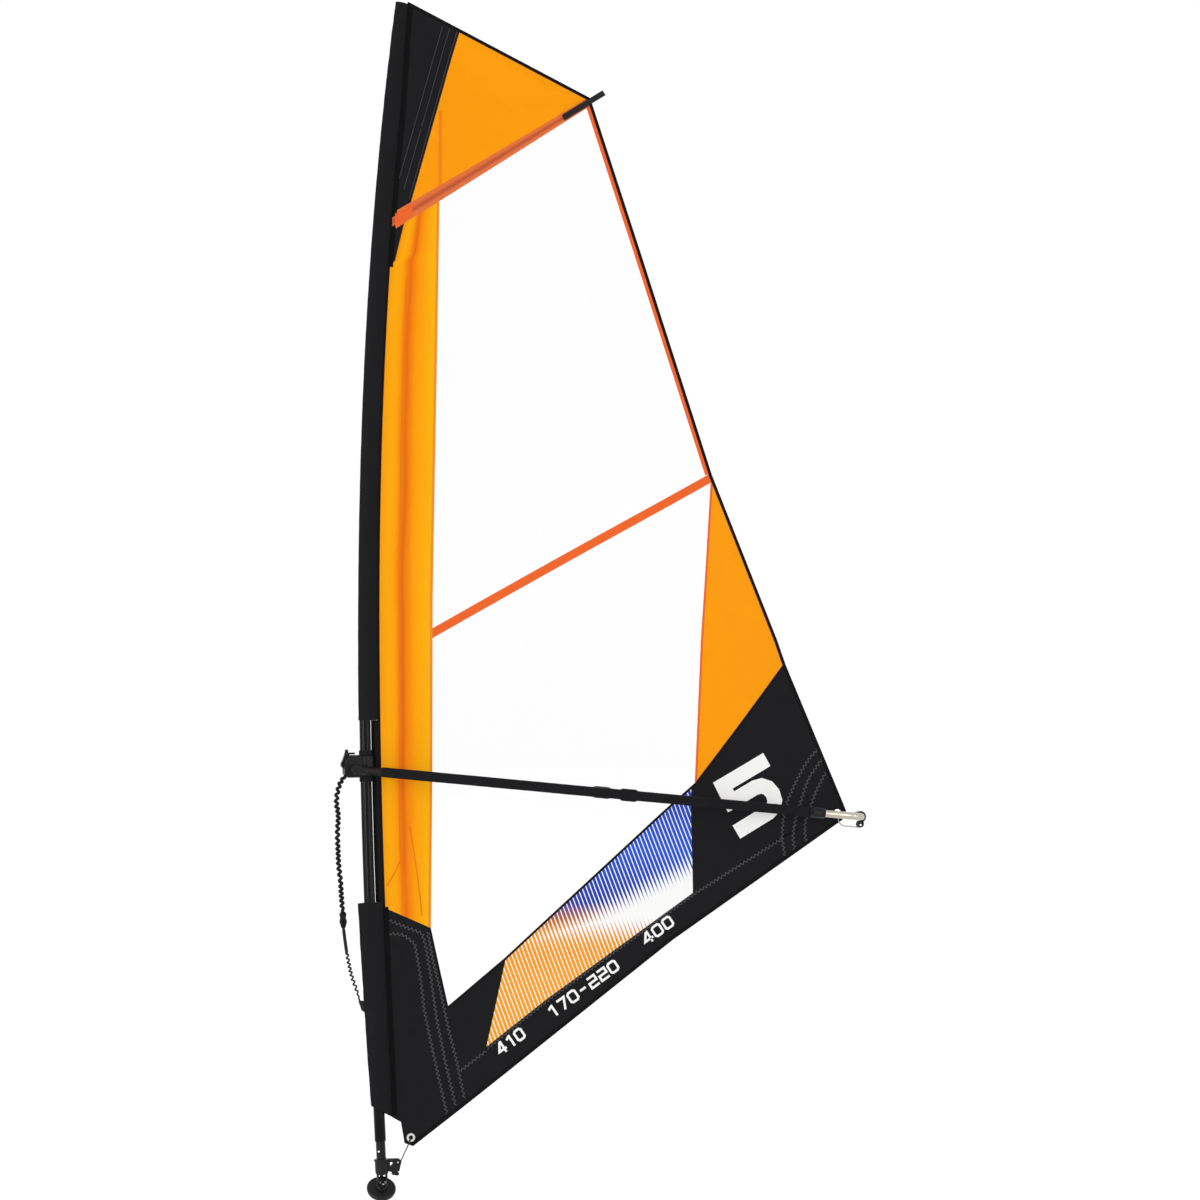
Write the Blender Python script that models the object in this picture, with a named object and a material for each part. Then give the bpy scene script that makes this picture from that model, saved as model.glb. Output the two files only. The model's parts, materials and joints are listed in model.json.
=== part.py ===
"""Windsurf rig: sail, two-piece mast, wishbone boom, uphaul and mast foot.

Metres, +Z up. +X runs aft from the mast to the clew, and -Y is the port side, which faces the viewer.
The origin is the centre of the mast foot's universal joint, about which the whole rig tips and turns.
"""

import math

import bmesh
import bpy
import numpy as np
from mathutils import Matrix, Vector

# Fits
TOUCH = 0.0003  # gap between pieces that bear on each other
SHARP = 35  # edges that turn more than this many degrees stay sharp
RUN = 0.0004  # radial gap of a tube that slides in another
EASE = 0.0008  # sideways room of the mast in its sleeve and in the boom clamp
MAST_SIDES = 16
TUBE_SIDES = 12
SMALL_SIDES = 16

# Mast: straight and leaning forward up to STRAIGHT_TOP, then bent by the downhaul up to the head
MAST_LEAN = -0.052  # forward lean at the foot, metres per metre of height
HEAD_X = 0.052
HEAD_Z = 4.248
HEAD_SLOPE = 0.126  # aft slope of the mast at the head
STRAIGHT_TOP = 0.552
MAST_FOOT_Z = 0.140
MAST_JOINT_Z = 2.26
MAST_TIP_Z = 4.200
MAST_RADIUS = 0.020
MAST_TIP_RADIUS = 0.012
PARALLEL_TOP = 1.75  # the mast tapers above this height
MAST_WALL = 0.0025
FERRULE_REACH = 0.15
FERRULE_WALL = 0.0025
CAP_HEIGHT = 0.030

# Luff sleeve and the boom cut-out in it
CUTOUT_BOTTOM = 0.987
CUTOUT_TOP = 1.639
SLEEVE_FOOT_Z = 0.250
SLEEVE_AFT = 0.048  # from the mast's axis to the seam behind it
SLEEVE_HEAD_AFT = 0.030
SLEEVE_TAPER_Z = 3.85
SLEEVE_WALL = 0.001
SLEEVE_FRONT_EASE = 0.0024
LOWER_FRONT_TOP = 0.042  # the lower sleeve stands proud of the mast, more at its top
LOWER_FRONT_FOOT = 0.028
SLEEVE_FOOT_SLANT = 0.6
FLAP_FRONT = 0.0255
FLAP_SIDE = 0.0175

# Sail outline, (x, z)
HEAD_AFT = (0.084, 4.247)
LEECH_HEAD = (0.766, 3.934)
LEECH_UPPER = (0.957, 3.374)
LEECH_MIDDLE = (1.234, 2.549)
LEECH_LOWER = (1.487, 1.938)
CLEW_SHOULDER = (1.521, 1.844)
CLEW_TOP = (1.750, 1.318)
CLEW = (1.759, 1.295)
CLEW_BOTTOM = (1.741, 1.265)
FOOT_CLEW = (1.560, 1.146)
FOOT_AFT = (1.080, 0.832)
FOOT_MIDDLE = (0.879, 0.683)
FOOT_BAND_TACK = (0.430, 0.350)
FOOT_TACK = (0.289, 0.246)
TACK_AFT = (0.111, 0.117)
TACK = (0.080, 0.129)
TACK_FRONT = (0.067, 0.204)
TACK_LUFF_Z = 0.2225  # where the tack panel's luff starts, at the sleeve's slanting foot

# Seams inside the sail, (x, z)
HEAD_BLACK = (0.273, 4.160)
POCKET_TOP_Z = 3.471  # where the batten pocket meets the luff seam
POCKET_LOW_Z = 3.403
POCKET_LEECH_TOP = (0.758, 3.934)
POCKET_LEECH_LOW = (0.754, 3.896)
BLACK_SEAM_X = 0.095  # where the black and orange head panels meet the pocket
CORNER_SEAM_X = 0.069
CORNER_LOW = (0.036, 3.299)
CORNER_LUFF_Z = 3.277
LUFF_PANEL_TOP_X = 0.197
LUFF_SEAM = [(0.190, 3.024), (0.175, 2.073), (0.175, 1.453), (0.171, 0.895)]
LUFF_PANEL_FOOT_Z = 0.971
STRIP_LUFF = (0.175, 1.969)
STRIP_LEECH = (1.230, 2.556)
STRIP_WIDTH = 0.036
LEECH_SEAM = [(1.196, 1.936), (1.177, 1.405)]
WINDOW_POINT = (0.238, 0.605)
PRINT_TOP = (0.457, 0.776)
PRINT_CLEW_TOP = (1.160, 1.390)
PRINT_CLEW_LOW = (1.158, 1.003)
PRINT_MIDDLE = (0.601, 0.625)
PRINT_TACK = (0.380, 0.462)
BAND_CLEW = (1.504, 1.205)

# Cloth
CLOTH = 0.001
PIPING_WIDTH = 0.011
PIPING_THICK = 0.003
BELLY = 0.025  # depth of the sail's curve over its chord
FOLD_DEPTH = 0.004
FOLDS = 2
FOLD_TOP = 3.25
FOLD_BOTTOM = 1.0
FLAT_LEECH = 0.10  # share of the chord that lies flat at the leech
FLAT_FOOT = (0.30, 0.75)  # the curve fades in between these heights
PANEL_STEP = 0.20
FOLD_STEP = 0.030
EYELET_RADIUS = 0.0155
EYELET_BORE = 0.0080
EYELET_BARREL = 0.0112
TACK_EYELET = (0.103, 0.148)
CLEW_EYELET = (1.722, 1.290)

# Batten
BATTEN_WIDTH = 0.012
BATTEN_THICK = 0.003
POCKET_ROOM = 0.0006
TENSIONER_WIDTH = 0.018
TENSIONER_THICK = 0.005
TENSIONER_REACH = 0.070  # past the leech

# Boom head, on the mast
BOOM_Z = 1.476
LINER_WALL = 0.0025
LINER_HEIGHT = 0.112
CLAMP_WALL = 0.0045
CLAMP_HEIGHT = 0.070
CLAMP_SLIT = 0.004
HEAD_FRONT = 0.080  # from the mast's axis to the front of the head
HEAD_INSET = 0.0021  # each side of the head's block lies this far inside the clamp ring's
HEAD_HALF_WIDTH = MAST_RADIUS + EASE + LINER_WALL + TOUCH + CLAMP_WALL - HEAD_INSET
CHIN = 0.014  # bevel under the front of the head, where the uphaul comes out
HEAD_HEIGHT = 0.080
TRUNNION_AHEAD = 0.046
TRUNNION_DROP = 0.011  # under the middle of the clamp
TRUNNION_RADIUS = 0.006
LEVER_PIN_AHEAD = 0.074
LEVER_PIN_RADIUS = 0.003
LEVER_WIDTH = 0.020
LEVER_END = 0.040
CAM_RADIUS = 0.016

# Boom arms, in the boom's own frame: u aft along it from the mast, v sideways
BOOM_DROP = 0.097  # fall of the boom towards its tail, metres per metre
ARM_RADIUS = 0.0155
ARM_WALL = 0.0015
GRIP_THICK = 0.0020
ARM_START = -0.022
ARM_FRONT_V = 0.056
TAIL_V = 0.085
TAIL_STRAIGHT = 1.290  # from here aft both arms are straight and parallel
ARM_SHAPE = [(0.116, 0.108), (0.349, 0.178), (0.620, 0.200), (0.837, 0.158), (0.953, 0.101)]  # share aft, sideways
ARM_STATIONS = [0.11, 0.20, 0.31, 0.43, 0.54, 0.64]  # rings ahead of the joint, as shares of the curved length
ARM_TAIL_STATIONS = [0.806, 0.876, 0.938, 0.969]
ARM_WIDEST_JOINT = 0.930
JOINT_SWELL = 0.0045
SWELL_HALF = 0.029
CLEW_ROOM = 0.041  # the tail's bend starts this far behind the sail's clew
TAIL_BEND = CLEW[0] + CLEW_ROOM
TAIL_SHOWN = 0.100  # straight tail tube between the arms' ends and the bend
TAIL_LAP = 0.040
HUB_LIP = 0.0015  # the knuckle's hub stands this far over the arm
ARM_END = TAIL_BEND - TAIL_SHOWN
LOCK_SEAT = 0.045  # bare end of each arm, under its lock collar
GRIP_START = 0.045
GRIP_END = ARM_END - LOCK_SEAT
COLLAR_LENGTH = 0.060
COLLAR_WALL = 0.0045
TAIL_START = TAIL_STRAIGHT + TAIL_LAP
TAIL_WALL = 0.0015
LOCK_LENGTH = 0.034
LOCK_THICK = 0.004
LOCK_WIDTH = 0.012
LOCK_PIN = 0.0018
FITTING_WIDTH = 0.029
OUTHAUL_SHEAVE_RADIUS = 0.009
SHEAVE_WIDTH = 0.007
AXLE_RADIUS = 0.003

# Mast foot, on the mast's lower axis
EXTENSION_RADIUS = MAST_RADIUS - MAST_WALL - 0.0005
EXTENSION_WALL = 0.0022
EXTENSION_TOP = 0.500
EXTENSION_FOOT = 0.034
COLLAR_FOOT = 0.030
COLLAR_TOP = 0.076
HOUSING_RADIUS = 0.0235
HOUSING_LIP = 0.0265
CHEEK_INNER = 0.0048
CHEEK_OUTER = 0.0088
DOWNHAUL_SHEAVE = (0.058, 0.060)  # aft of the mast's axis, above the joint
DOWNHAUL_SHEAVE_RADIUS = 0.0095
CLEAT_HALF_WIDTH = 0.0090
CLEAT_TIP = (0.054, 0.0200)
CLEAT_TIP_RADIUS = 0.0065
EAR_INNER = 0.0125
EAR_OUTER = 0.0185
EAR_HALF_WIDTH = 0.007
EAR_TIP = 0.009
FORK_BRIDGE = 0.0215  # from the joint's centre to the solid part of each fork
CROSS_PIN_RADIUS = 0.004
FOOT_TILT = math.radians(40)  # how far the base hangs tilted
BASE_RADIUS = 0.052
BASE_TOP = 0.036  # below the joint's centre, along the base's own axis
BASE_THICK = 0.010
PAD_THICK = 0.006
STUD_RADIUS = 0.009
STUD_REACH = 0.008

# Lines
UPHAUL_RADIUS = 0.008
BUNGEE_RADIUS = 0.0045
LINE_RADIUS = 0.002
UPHAUL_ROUTE = [(-0.166, 1.385), (-0.170, 1.345), (-0.164, 1.305),
                (-0.166, 1.240), (-0.164, 1.177), (-0.161, 1.120), (-0.155, 1.070),
                (-0.151, 1.010), (-0.146, 0.955)]
BUNGEE_ROUTE = [(-0.143, 0.897), (-0.137, 0.850), (-0.126, 0.785), (-0.112, 0.725), (-0.092, 0.668), (-0.084, 0.640)]
KNOT_RADIUS = 0.015
HOOK_SIZE = (0.010, 0.014, 0.040)

COLOURS = {
    "carbon": ((0.012, 0.012, 0.013, 1), 0.25, 0.0),
    "black_cloth": ((0.014, 0.014, 0.015, 1), 0.75, 0.0),
    "orange_cloth": ((1.0, 0.34, 0.0, 1), 0.55, 0.0),
    "red_tape": ((0.89, 0.14, 0.02, 1), 0.55, 0.0),
    "clear_film": ((0.92, 0.94, 0.95, 1), 0.10, 0.0),
    "print_cloth": ((0.30, 0.35, 0.85, 1), 0.55, 0.0),
    "black_plastic": ((0.015, 0.015, 0.016, 1), 0.45, 0.0),
    "foam": ((0.016, 0.016, 0.018, 1), 0.85, 0.0),
    "rubber": ((0.02, 0.02, 0.02, 1), 0.8, 0.0),
    "alloy": ((0.58, 0.55, 0.50, 1), 0.3, 1.0),
    "black_alloy": ((0.012, 0.012, 0.012, 1), 0.3, 0.5),
    "steel": ((0.60, 0.60, 0.60, 1), 0.3, 1.0),
    "rope": ((0.02, 0.02, 0.02, 1), 0.8, 0.0),
}


def material(name):
    """The named material, made the first time that it is asked for."""
    found = bpy.data.materials.get(name)
    if found:
        return found
    colour, roughness, metallic = COLOURS[name]
    made = bpy.data.materials.new(name)
    made.use_nodes = True
    shader = made.node_tree.nodes["Principled BSDF"]
    shader.inputs["Base Color"].default_value = colour
    shader.inputs["Roughness"].default_value = roughness
    shader.inputs["Metallic"].default_value = metallic
    return made


def solid(name, bm, finish, parent=None):
    """Turns a closed bmesh into a named object with its faces pointing out."""
    bmesh.ops.recalc_face_normals(bm, faces=bm.faces)
    mesh = bpy.data.meshes.new(name)
    bm.to_mesh(mesh)
    bm.free()
    mesh.shade_smooth()
    mesh.set_sharp_from_angle(angle=math.radians(SHARP))
    mesh.materials.append(material(finish))
    item = bpy.data.objects.new(name, mesh)
    bpy.context.scene.collection.objects.link(item)
    item.parent = parent
    return item


def frame_empty(name, matrix):
    """An empty that carries the pieces of one assembly."""
    item = bpy.data.objects.new(name, None)
    bpy.context.scene.collection.objects.link(item)
    item.matrix_world = matrix
    return item


def combine(item, other, operation):
    """Joins another shape to a piece or cuts it out, and hides that shape."""
    other.hide_render = True
    other.display_type = "WIRE"
    other.parent = item.parent
    step = item.modifiers.new(operation.title(), "BOOLEAN")
    step.operation = operation
    step.object = other
    step.solver = "EXACT"
    return item


def skin(bm, rings, closed=False):
    """Joins rings of equal count with faces. With closed, the last ring meets the first."""
    count = len(rings[0])
    pairs = zip(rings, rings[1:] + rings[:1]) if closed else zip(rings, rings[1:])
    for low, high in pairs:
        for i in range(count):
            j = (i + 1) % count
            bm.faces.new((low[i], low[j], high[j], high[i]))


def loft(name, rings, finish, parent=None, inner=None):
    """A solid through rings of points, or a tube when inner rings are given."""
    bm = bmesh.new()
    outer = [[bm.verts.new(p) for p in ring] for ring in rings]
    if inner is None:
        skin(bm, outer)
        bm.faces.new(outer[0])
        bm.faces.new(outer[-1])
    else:
        bore = [[bm.verts.new(p) for p in ring] for ring in inner]
        skin(bm, outer + bore[::-1], closed=True)
    return solid(name, bm, finish, parent)


def lathe(name, profile, finish, axis, centre, sides=SMALL_SIDES, parent=None):
    """Turns a closed profile of (radius, height) round an axis through centre."""
    turn = Vector((0, 0, 1)).rotation_difference(Vector(axis)).to_matrix()
    rings = []
    for i in range(sides):
        angle = 2 * math.pi * (i + 0.5) / sides
        ring = [Vector((r * math.cos(angle), r * math.sin(angle), h)) for r, h in profile]
        rings.append([turn @ p + Vector(centre) for p in ring])
    bm = bmesh.new()
    skin(bm, [[bm.verts.new(p) for p in ring] for ring in rings], closed=True)
    return solid(name, bm, finish, parent)


def rod(name, start, end, radius, finish, sides=SMALL_SIDES, parent=None):
    """A plain round bar between two points."""
    start, end = Vector(start), Vector(end)
    turn = Vector((0, 0, 1)).rotation_difference(end - start).to_matrix()
    rings = []
    for point in (start, end):
        ring = []
        for i in range(sides):
            angle = 2 * math.pi * (i + 0.5) / sides
            ring.append(point + turn @ Vector((radius * math.cos(angle), radius * math.sin(angle), 0)))
        rings.append(ring)
    return loft(name, rings, finish, parent)


def prism(name, outline, low, high, finish, axis="Y", parent=None):
    """Extrudes an (x, z) outline along Y from low to high, or an (x, y) outline along Z."""
    bm = bmesh.new()
    if axis == "Y":
        rings = [[Vector((x, y, z)) for x, z in outline] for y in (low, high)]
    else:
        rings = [[Vector((x, y, z)) for x, y in outline] for z in (low, high)]
    verts = [[bm.verts.new(p) for p in ring] for ring in rings]
    skin(bm, verts)
    bm.faces.new(verts[0])
    bm.faces.new(verts[1])
    return solid(name, bm, finish, parent)


def arc(centre, radius, start, end, steps):
    """Points on an arc, from start to end in degrees."""
    angles = np.radians(np.linspace(start, end, steps))
    return [(centre[0] + radius * math.cos(a), centre[1] + radius * math.sin(a)) for a in angles]


def smooth_route(points, steps, by_length=False):
    """A smooth curve through the points, with steps points in each stretch.

    Each stretch is a cubic, and at a point the curve takes the mean slope of the stretches beside it. Where
    by_length is set the shorter one counts for more, so that a long stretch doesn't throw a short one over.
    """
    points = [np.array(p, float) for p in points]
    points = [2 * points[0] - points[1]] + points + [2 * points[-1] - points[-2]]
    gaps = [np.linalg.norm(b - a) if by_length else 1.0 for a, b in zip(points, points[1:])]
    steep = [(b - a) / gap for a, b, gap in zip(points, points[1:], gaps)]
    slopes = [(s * after + t * before) / (before + after)
              for s, t, before, after in zip(steep, steep[1:], gaps, gaps[1:])]
    out = []
    for b, c, gap, m, n in zip(points[1:], points[2:], gaps[1:], slopes, slopes[1:]):
        for t in np.arange(steps) / steps:
            out.append((2 * t**3 - 3 * t**2 + 1) * b + (t**3 - 2 * t**2 + t) * gap * m
                       + (3 * t**2 - 2 * t**3) * c + (t**3 - t**2) * gap * n)
    out.append(points[-2])
    return [Vector(p) for p in out]


def line_tube(name, points, radius, finish):
    """A rope or line as one bevelled curve."""
    curve = bpy.data.curves.new(name, "CURVE")
    curve.dimensions = "3D"
    curve.bevel_depth = radius
    curve.bevel_resolution = 2
    curve.use_fill_caps = True
    spline = curve.splines.new("POLY")
    spline.points.add(len(points) - 1)
    for place, point in zip(spline.points, points):
        place.co = (*point, 1)
    curve.materials.append(material(finish))
    item = bpy.data.objects.new(name, curve)
    bpy.context.scene.collection.objects.link(item)
    return item


# Mast curve

def mast_x(z):
    """How far aft the mast's axis is at a height: straight at first, then one cubic up to the head."""
    if z <= STRAIGHT_TOP:
        return MAST_LEAN * z
    span = HEAD_Z - STRAIGHT_TOP
    t = (z - STRAIGHT_TOP) / span
    start = MAST_LEAN * STRAIGHT_TOP
    return ((2 * t**3 - 3 * t**2 + 1) * start + (t**3 - 2 * t**2 + t) * span * MAST_LEAN
            + (3 * t**2 - 2 * t**3) * HEAD_X + (t**3 - t**2) * span * HEAD_SLOPE)


def mast_axes(z):
    """The mast's point at a height, with the direction straight aft of it there."""
    slope = (mast_x(z + 0.001) - mast_x(z - 0.001)) / 0.002
    along = Vector((slope, 0, 1)).normalized()
    return Vector((mast_x(z), 0, z)), Vector((along.z, 0, -along.x))


def mast_radius(z):
    """The mast's outer radius at a height."""
    return float(np.interp(z, (PARALLEL_TOP, MAST_TIP_Z), (MAST_RADIUS, MAST_TIP_RADIUS)))


def mast_ring(z, radius):
    """A ring of points square to the mast."""
    centre, aft = mast_axes(z)
    angles = [2 * math.pi * i / MAST_SIDES for i in range(MAST_SIDES)]
    return [centre + aft * radius * math.cos(a) + Vector((0, radius * math.sin(a), 0)) for a in angles]


def mast_tube(name, low, high, outer, inner, finish, steps):
    """A tube that follows the mast between two heights. outer and inner give radii at a height."""
    heights = np.linspace(low, high, steps)
    return loft(name, [mast_ring(z, outer(z)) for z in heights], finish,
                inner=[mast_ring(z, inner(z)) for z in heights])


def build_mast():
    """Two carbon sections, the ferrule that joins them and the cap on the tip."""
    def bore(z):
        return mast_radius(z) - MAST_WALL

    mast_tube("mast_bottom_section", MAST_FOOT_Z, MAST_JOINT_Z - TOUCH, mast_radius, bore, "carbon", 12)
    mast_tube("mast_top_section", MAST_JOINT_Z, MAST_TIP_Z, mast_radius, bore, "carbon", 12)

    def sleeve(z):
        return mast_radius(MAST_JOINT_Z + FERRULE_REACH) - MAST_WALL - RUN

    mast_tube("mast_ferrule", MAST_JOINT_Z - FERRULE_REACH, MAST_JOINT_Z + FERRULE_REACH,
              sleeve, lambda z: sleeve(z) - FERRULE_WALL, "carbon", 5)
    plug = MAST_TIP_RADIUS - MAST_WALL - RUN
    heights = (MAST_TIP_Z - CAP_HEIGHT, MAST_TIP_Z + TOUCH, MAST_TIP_Z + TOUCH, HEAD_Z - 0.018)
    radii = (plug, plug, MAST_TIP_RADIUS, MAST_TIP_RADIUS * 0.6)
    loft("head_cap", [mast_ring(z, r) for z, r in zip(heights, radii)], "black_plastic")


# Luff sleeve

def stations(low, high, steps):
    """Heights at which the sleeve has its rings."""
    return list(np.linspace(low, high, steps))


LOWER_STATIONS = stations(SLEEVE_FOOT_Z, CUTOUT_BOTTOM, 5)
CUTOUT_STATIONS = stations(CUTOUT_BOTTOM, CUTOUT_TOP, 5)
UPPER_STATIONS = stations(CUTOUT_TOP, HEAD_Z - 0.006, 12)


def sleeve_aft(z):
    """How far the luff seam lies behind the mast's axis."""
    return float(np.interp(z, (SLEEVE_TAPER_Z, HEAD_Z), (SLEEVE_AFT, SLEEVE_HEAD_AFT)))


def sleeve_front(z):
    """How far the sleeve reaches ahead of the mast's axis."""
    if z < CUTOUT_BOTTOM + 1e-6:
        return float(np.interp(z, (SLEEVE_FOOT_Z, CUTOUT_BOTTOM), (LOWER_FRONT_FOOT, LOWER_FRONT_TOP)))
    return mast_radius(z) + SLEEVE_FRONT_EASE


def sleeve_place(z, aft, side):
    """A point beside the mast. The sleeve's foot is cut on a slant."""
    centre, back = mast_axes(z)
    point = centre + back * aft + Vector((0, side, 0))
    if z < SLEEVE_FOOT_Z + 1e-6:
        point.z -= SLEEVE_FOOT_SLANT * aft
    return point


def sleeve_ring(z, inside):
    """The sleeve's drop-shaped section: round over the mast, drawn to an edge behind it."""
    wall = SLEEVE_WALL if inside else 0.0
    front = sleeve_front(z) - wall
    half = mast_radius(z) + EASE + SLEEVE_WALL - wall
    aft = sleeve_aft(z) * 0.86 if inside else sleeve_aft(z) - TOUCH
    ring = []
    for i in range(MAST_SIDES):
        angle = 2 * math.pi * i / MAST_SIDES
        c, s = math.cos(angle), math.sin(angle)
        if c > 0:
            ring.append(sleeve_place(z, aft * c, half * math.copysign(abs(s) ** 1.4, s)))
        else:
            ring.append(sleeve_place(z, front * c, half * s))
    return ring


def luff_edge(low, high):
    """The luff seam as (x, z) points from low to high, on the sleeve's own stations."""
    heights = sorted(set(LOWER_STATIONS + CUTOUT_STATIONS + UPPER_STATIONS))
    edge = [sleeve_place(z, sleeve_aft(z), 0) for z in heights]
    xs, zs = [p.x for p in edge], [p.z for p in edge]
    inside = [(x, z) for x, z in zip(xs, zs) if low + 1e-4 < z < high - 1e-4]
    return [(float(np.interp(low, zs, xs)), low)] + inside + [(float(np.interp(high, zs, xs)), high)]


def build_sleeve():
    """The luff sleeve above and below the boom cut-out, and the flap left behind the mast in it."""
    for name, heights in (("luff_sleeve_lower", LOWER_STATIONS), ("luff_sleeve_upper", UPPER_STATIONS)):
        loft(name, [sleeve_ring(z, False) for z in heights], "black_cloth",
             inner=[sleeve_ring(z, True) for z in heights])
    aft = SLEEVE_AFT - TOUCH
    middle = (aft + FLAP_FRONT) / 2
    section = [(aft, -CLOTH / 2), (middle, FLAP_SIDE * 0.35 - CLOTH / 2), (FLAP_FRONT, FLAP_SIDE),
               (FLAP_FRONT + CLOTH, FLAP_SIDE + CLOTH), (middle, FLAP_SIDE * 0.35 + CLOTH), (aft, CLOTH / 2)]
    heights = [CUTOUT_BOTTOM + TOUCH] + CUTOUT_STATIONS[1:-1] + [CUTOUT_TOP - TOUCH]
    loft("cutout_flap", [[sleeve_place(z, a, b) for a, b in section] for z in heights], "black_cloth")


# Sail panels

LEECH_LINE = [TACK_AFT, FOOT_TACK, FOOT_MIDDLE, FOOT_AFT, CLEW, CLEW_SHOULDER, LEECH_LOWER,
              LEECH_MIDDLE, LEECH_UPPER, LEECH_HEAD, HEAD_AFT]
LUFF_LINE = luff_edge(TACK_AFT[1], HEAD_Z)


def sail_y(x, z):
    """The sail's curve to starboard: none at the luff, leech and foot, with soft folds beside the luff."""
    luff = float(np.interp(z, [p[1] for p in LUFF_LINE], [p[0] for p in LUFF_LINE]))
    leech = float(np.interp(z, [p[1] for p in LEECH_LINE], [p[0] for p in LEECH_LINE]))
    chord = max(leech - luff, 1e-6)
    share = min(max((x - luff) / chord / (1 - FLAT_LEECH), 0), 1)
    rise = min(max((z - FLAT_FOOT[0]) / (FLAT_FOOT[1] - FLAT_FOOT[0]), 0), 1)
    depth = rise * BELLY * chord * 16 * share**2 * (1 - share) ** 2
    across = (x - luff) / max(LUFF_SEAM[1][0] - luff, 1e-6)
    if 0 < across < 1 and FOLD_BOTTOM < z < FOLD_TOP:
        fade = math.sin(math.pi * (z - FOLD_BOTTOM) / (FOLD_TOP - FOLD_BOTTOM))
        depth += FOLD_DEPTH * fade * math.sin(math.pi * across) * math.sin(2 * math.pi * FOLDS * across)
    return depth


def inset(outline, distance):
    """Moves every edge of an outline inwards by the same distance."""
    points = [Vector(p) for p in outline]
    area = sum(a.x * b.y - b.x * a.y for a, b in zip(points, points[1:] + points[:1]))
    side = 1 if area > 0 else -1
    out = []
    for before, here, after in zip(points[-1:] + points[:-1], points, points[1:] + points[:1]):
        first, second = (here - before).normalized(), (after - here).normalized()
        one = Vector((-first.y, first.x)) * side
        two = Vector((-second.y, second.x)) * side
        out.append(here + (one + two) * (distance / (1 + one.dot(two))))
    return [(p.x, p.y) for p in out]


def panel(name, outline, finish, thick=CLOTH, step_x=PANEL_STEP, step_z=PANEL_STEP):
    """A sheet of the sail inside an (x, z) outline, bent to the sail's curve."""
    bm = bmesh.new()
    face = bm.faces.new([bm.verts.new((x, 0, z)) for x, z in inset(outline, TOUCH / 2)])
    face.normal_update()
    bmesh.ops.triangulate(bm, faces=[face])
    for axis, step, values in ((0, step_x, [p[0] for p in outline]), (2, step_z, [p[1] for p in outline])):
        for i in range(math.ceil(min(values) / step), math.ceil(max(values) / step)):
            place, normal = [0, 0, 0], [0, 0, 0]
            place[axis], normal[axis] = i * step, 1
            parts = bm.verts[:] + bm.edges[:] + bm.faces[:]
            bmesh.ops.bisect_plane(bm, geom=parts, plane_co=place, plane_no=normal, dist=1e-5)
    bm.normal_update()
    bmesh.ops.triangulate(bm, faces=bm.faces[:])
    made = bmesh.ops.extrude_face_region(bm, geom=bm.faces[:])["geom"]
    far = {v for v in made if isinstance(v, bmesh.types.BMVert)}
    for v in bm.verts:
        v.co.y = sail_y(v.co.x, v.co.z) + (thick / 2 if v in far else -thick / 2)
    return solid(name, bm, finish)


def on_line(a, b, x):
    """The point of the line through a and b at x."""
    return (x, a[1] + (b[1] - a[1]) * (x - a[0]) / (b[0] - a[0]))


def meet(a, b, c, d):
    """The point where the line through a and b crosses the line through c and d."""
    a, b, c, d = (Vector(p) for p in (a, b, c, d))
    first, second = b - a, d - c
    share = (c - a).cross(second) / first.cross(second)
    return tuple(a + first * share)


def offset_line(points, distance):
    """A line of points moved to its left by a distance, with its ends kept square."""
    points = [Vector(p) for p in points]
    out = []
    for i, here in enumerate(points):
        before = (here - points[i - 1]).normalized() if i else None
        after = (points[i + 1] - here).normalized() if i + 1 < len(points) else None
        before, after = before or after, after or before
        one, two = Vector((-before.y, before.x)), Vector((-after.y, after.x))
        out.append(here + (one + two) * (distance / (1 + one.dot(two))))
    return [(p.x, p.y) for p in out]


def sail_seams():
    """The seam points that several pieces of the sail share, by name."""
    leech = [LEECH_HEAD, LEECH_UPPER, LEECH_MIDDLE, LEECH_LOWER, CLEW_SHOULDER]
    edge_in = offset_line([HEAD_AFT] + leech, -PIPING_WIDTH)
    luff_head = LUFF_LINE[-2:]
    head_in = [meet(*edge_in[:2], *luff_head), edge_in[1]]
    pocket_top = (luff_edge(POCKET_TOP_Z, HEAD_Z)[0], POCKET_LEECH_TOP)
    pocket_low = (luff_edge(POCKET_LOW_Z, HEAD_Z)[0], POCKET_LEECH_LOW)
    strip_low = (STRIP_LUFF[0], STRIP_LUFF[1] - STRIP_WIDTH)
    strip_leech_low = (STRIP_LEECH[0], STRIP_LEECH[1] - STRIP_WIDTH)
    return {
        "leech": leech,
        "leech_in": edge_in[1:],
        "head": [meet(HEAD_AFT, LEECH_HEAD, *luff_head), LEECH_HEAD],
        "head_in": head_in,
        "pocket_top": pocket_top,
        "pocket_low": pocket_low,
        "pocket_end": (meet(*pocket_top, *head_in), meet(*pocket_low, *edge_in[1:3])),
        "strip": [strip_low, STRIP_LUFF, meet(STRIP_LUFF, STRIP_LEECH, *edge_in[2:4]), edge_in[3],
                  meet(strip_low, strip_leech_low, *edge_in[3:5])],
    }


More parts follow.
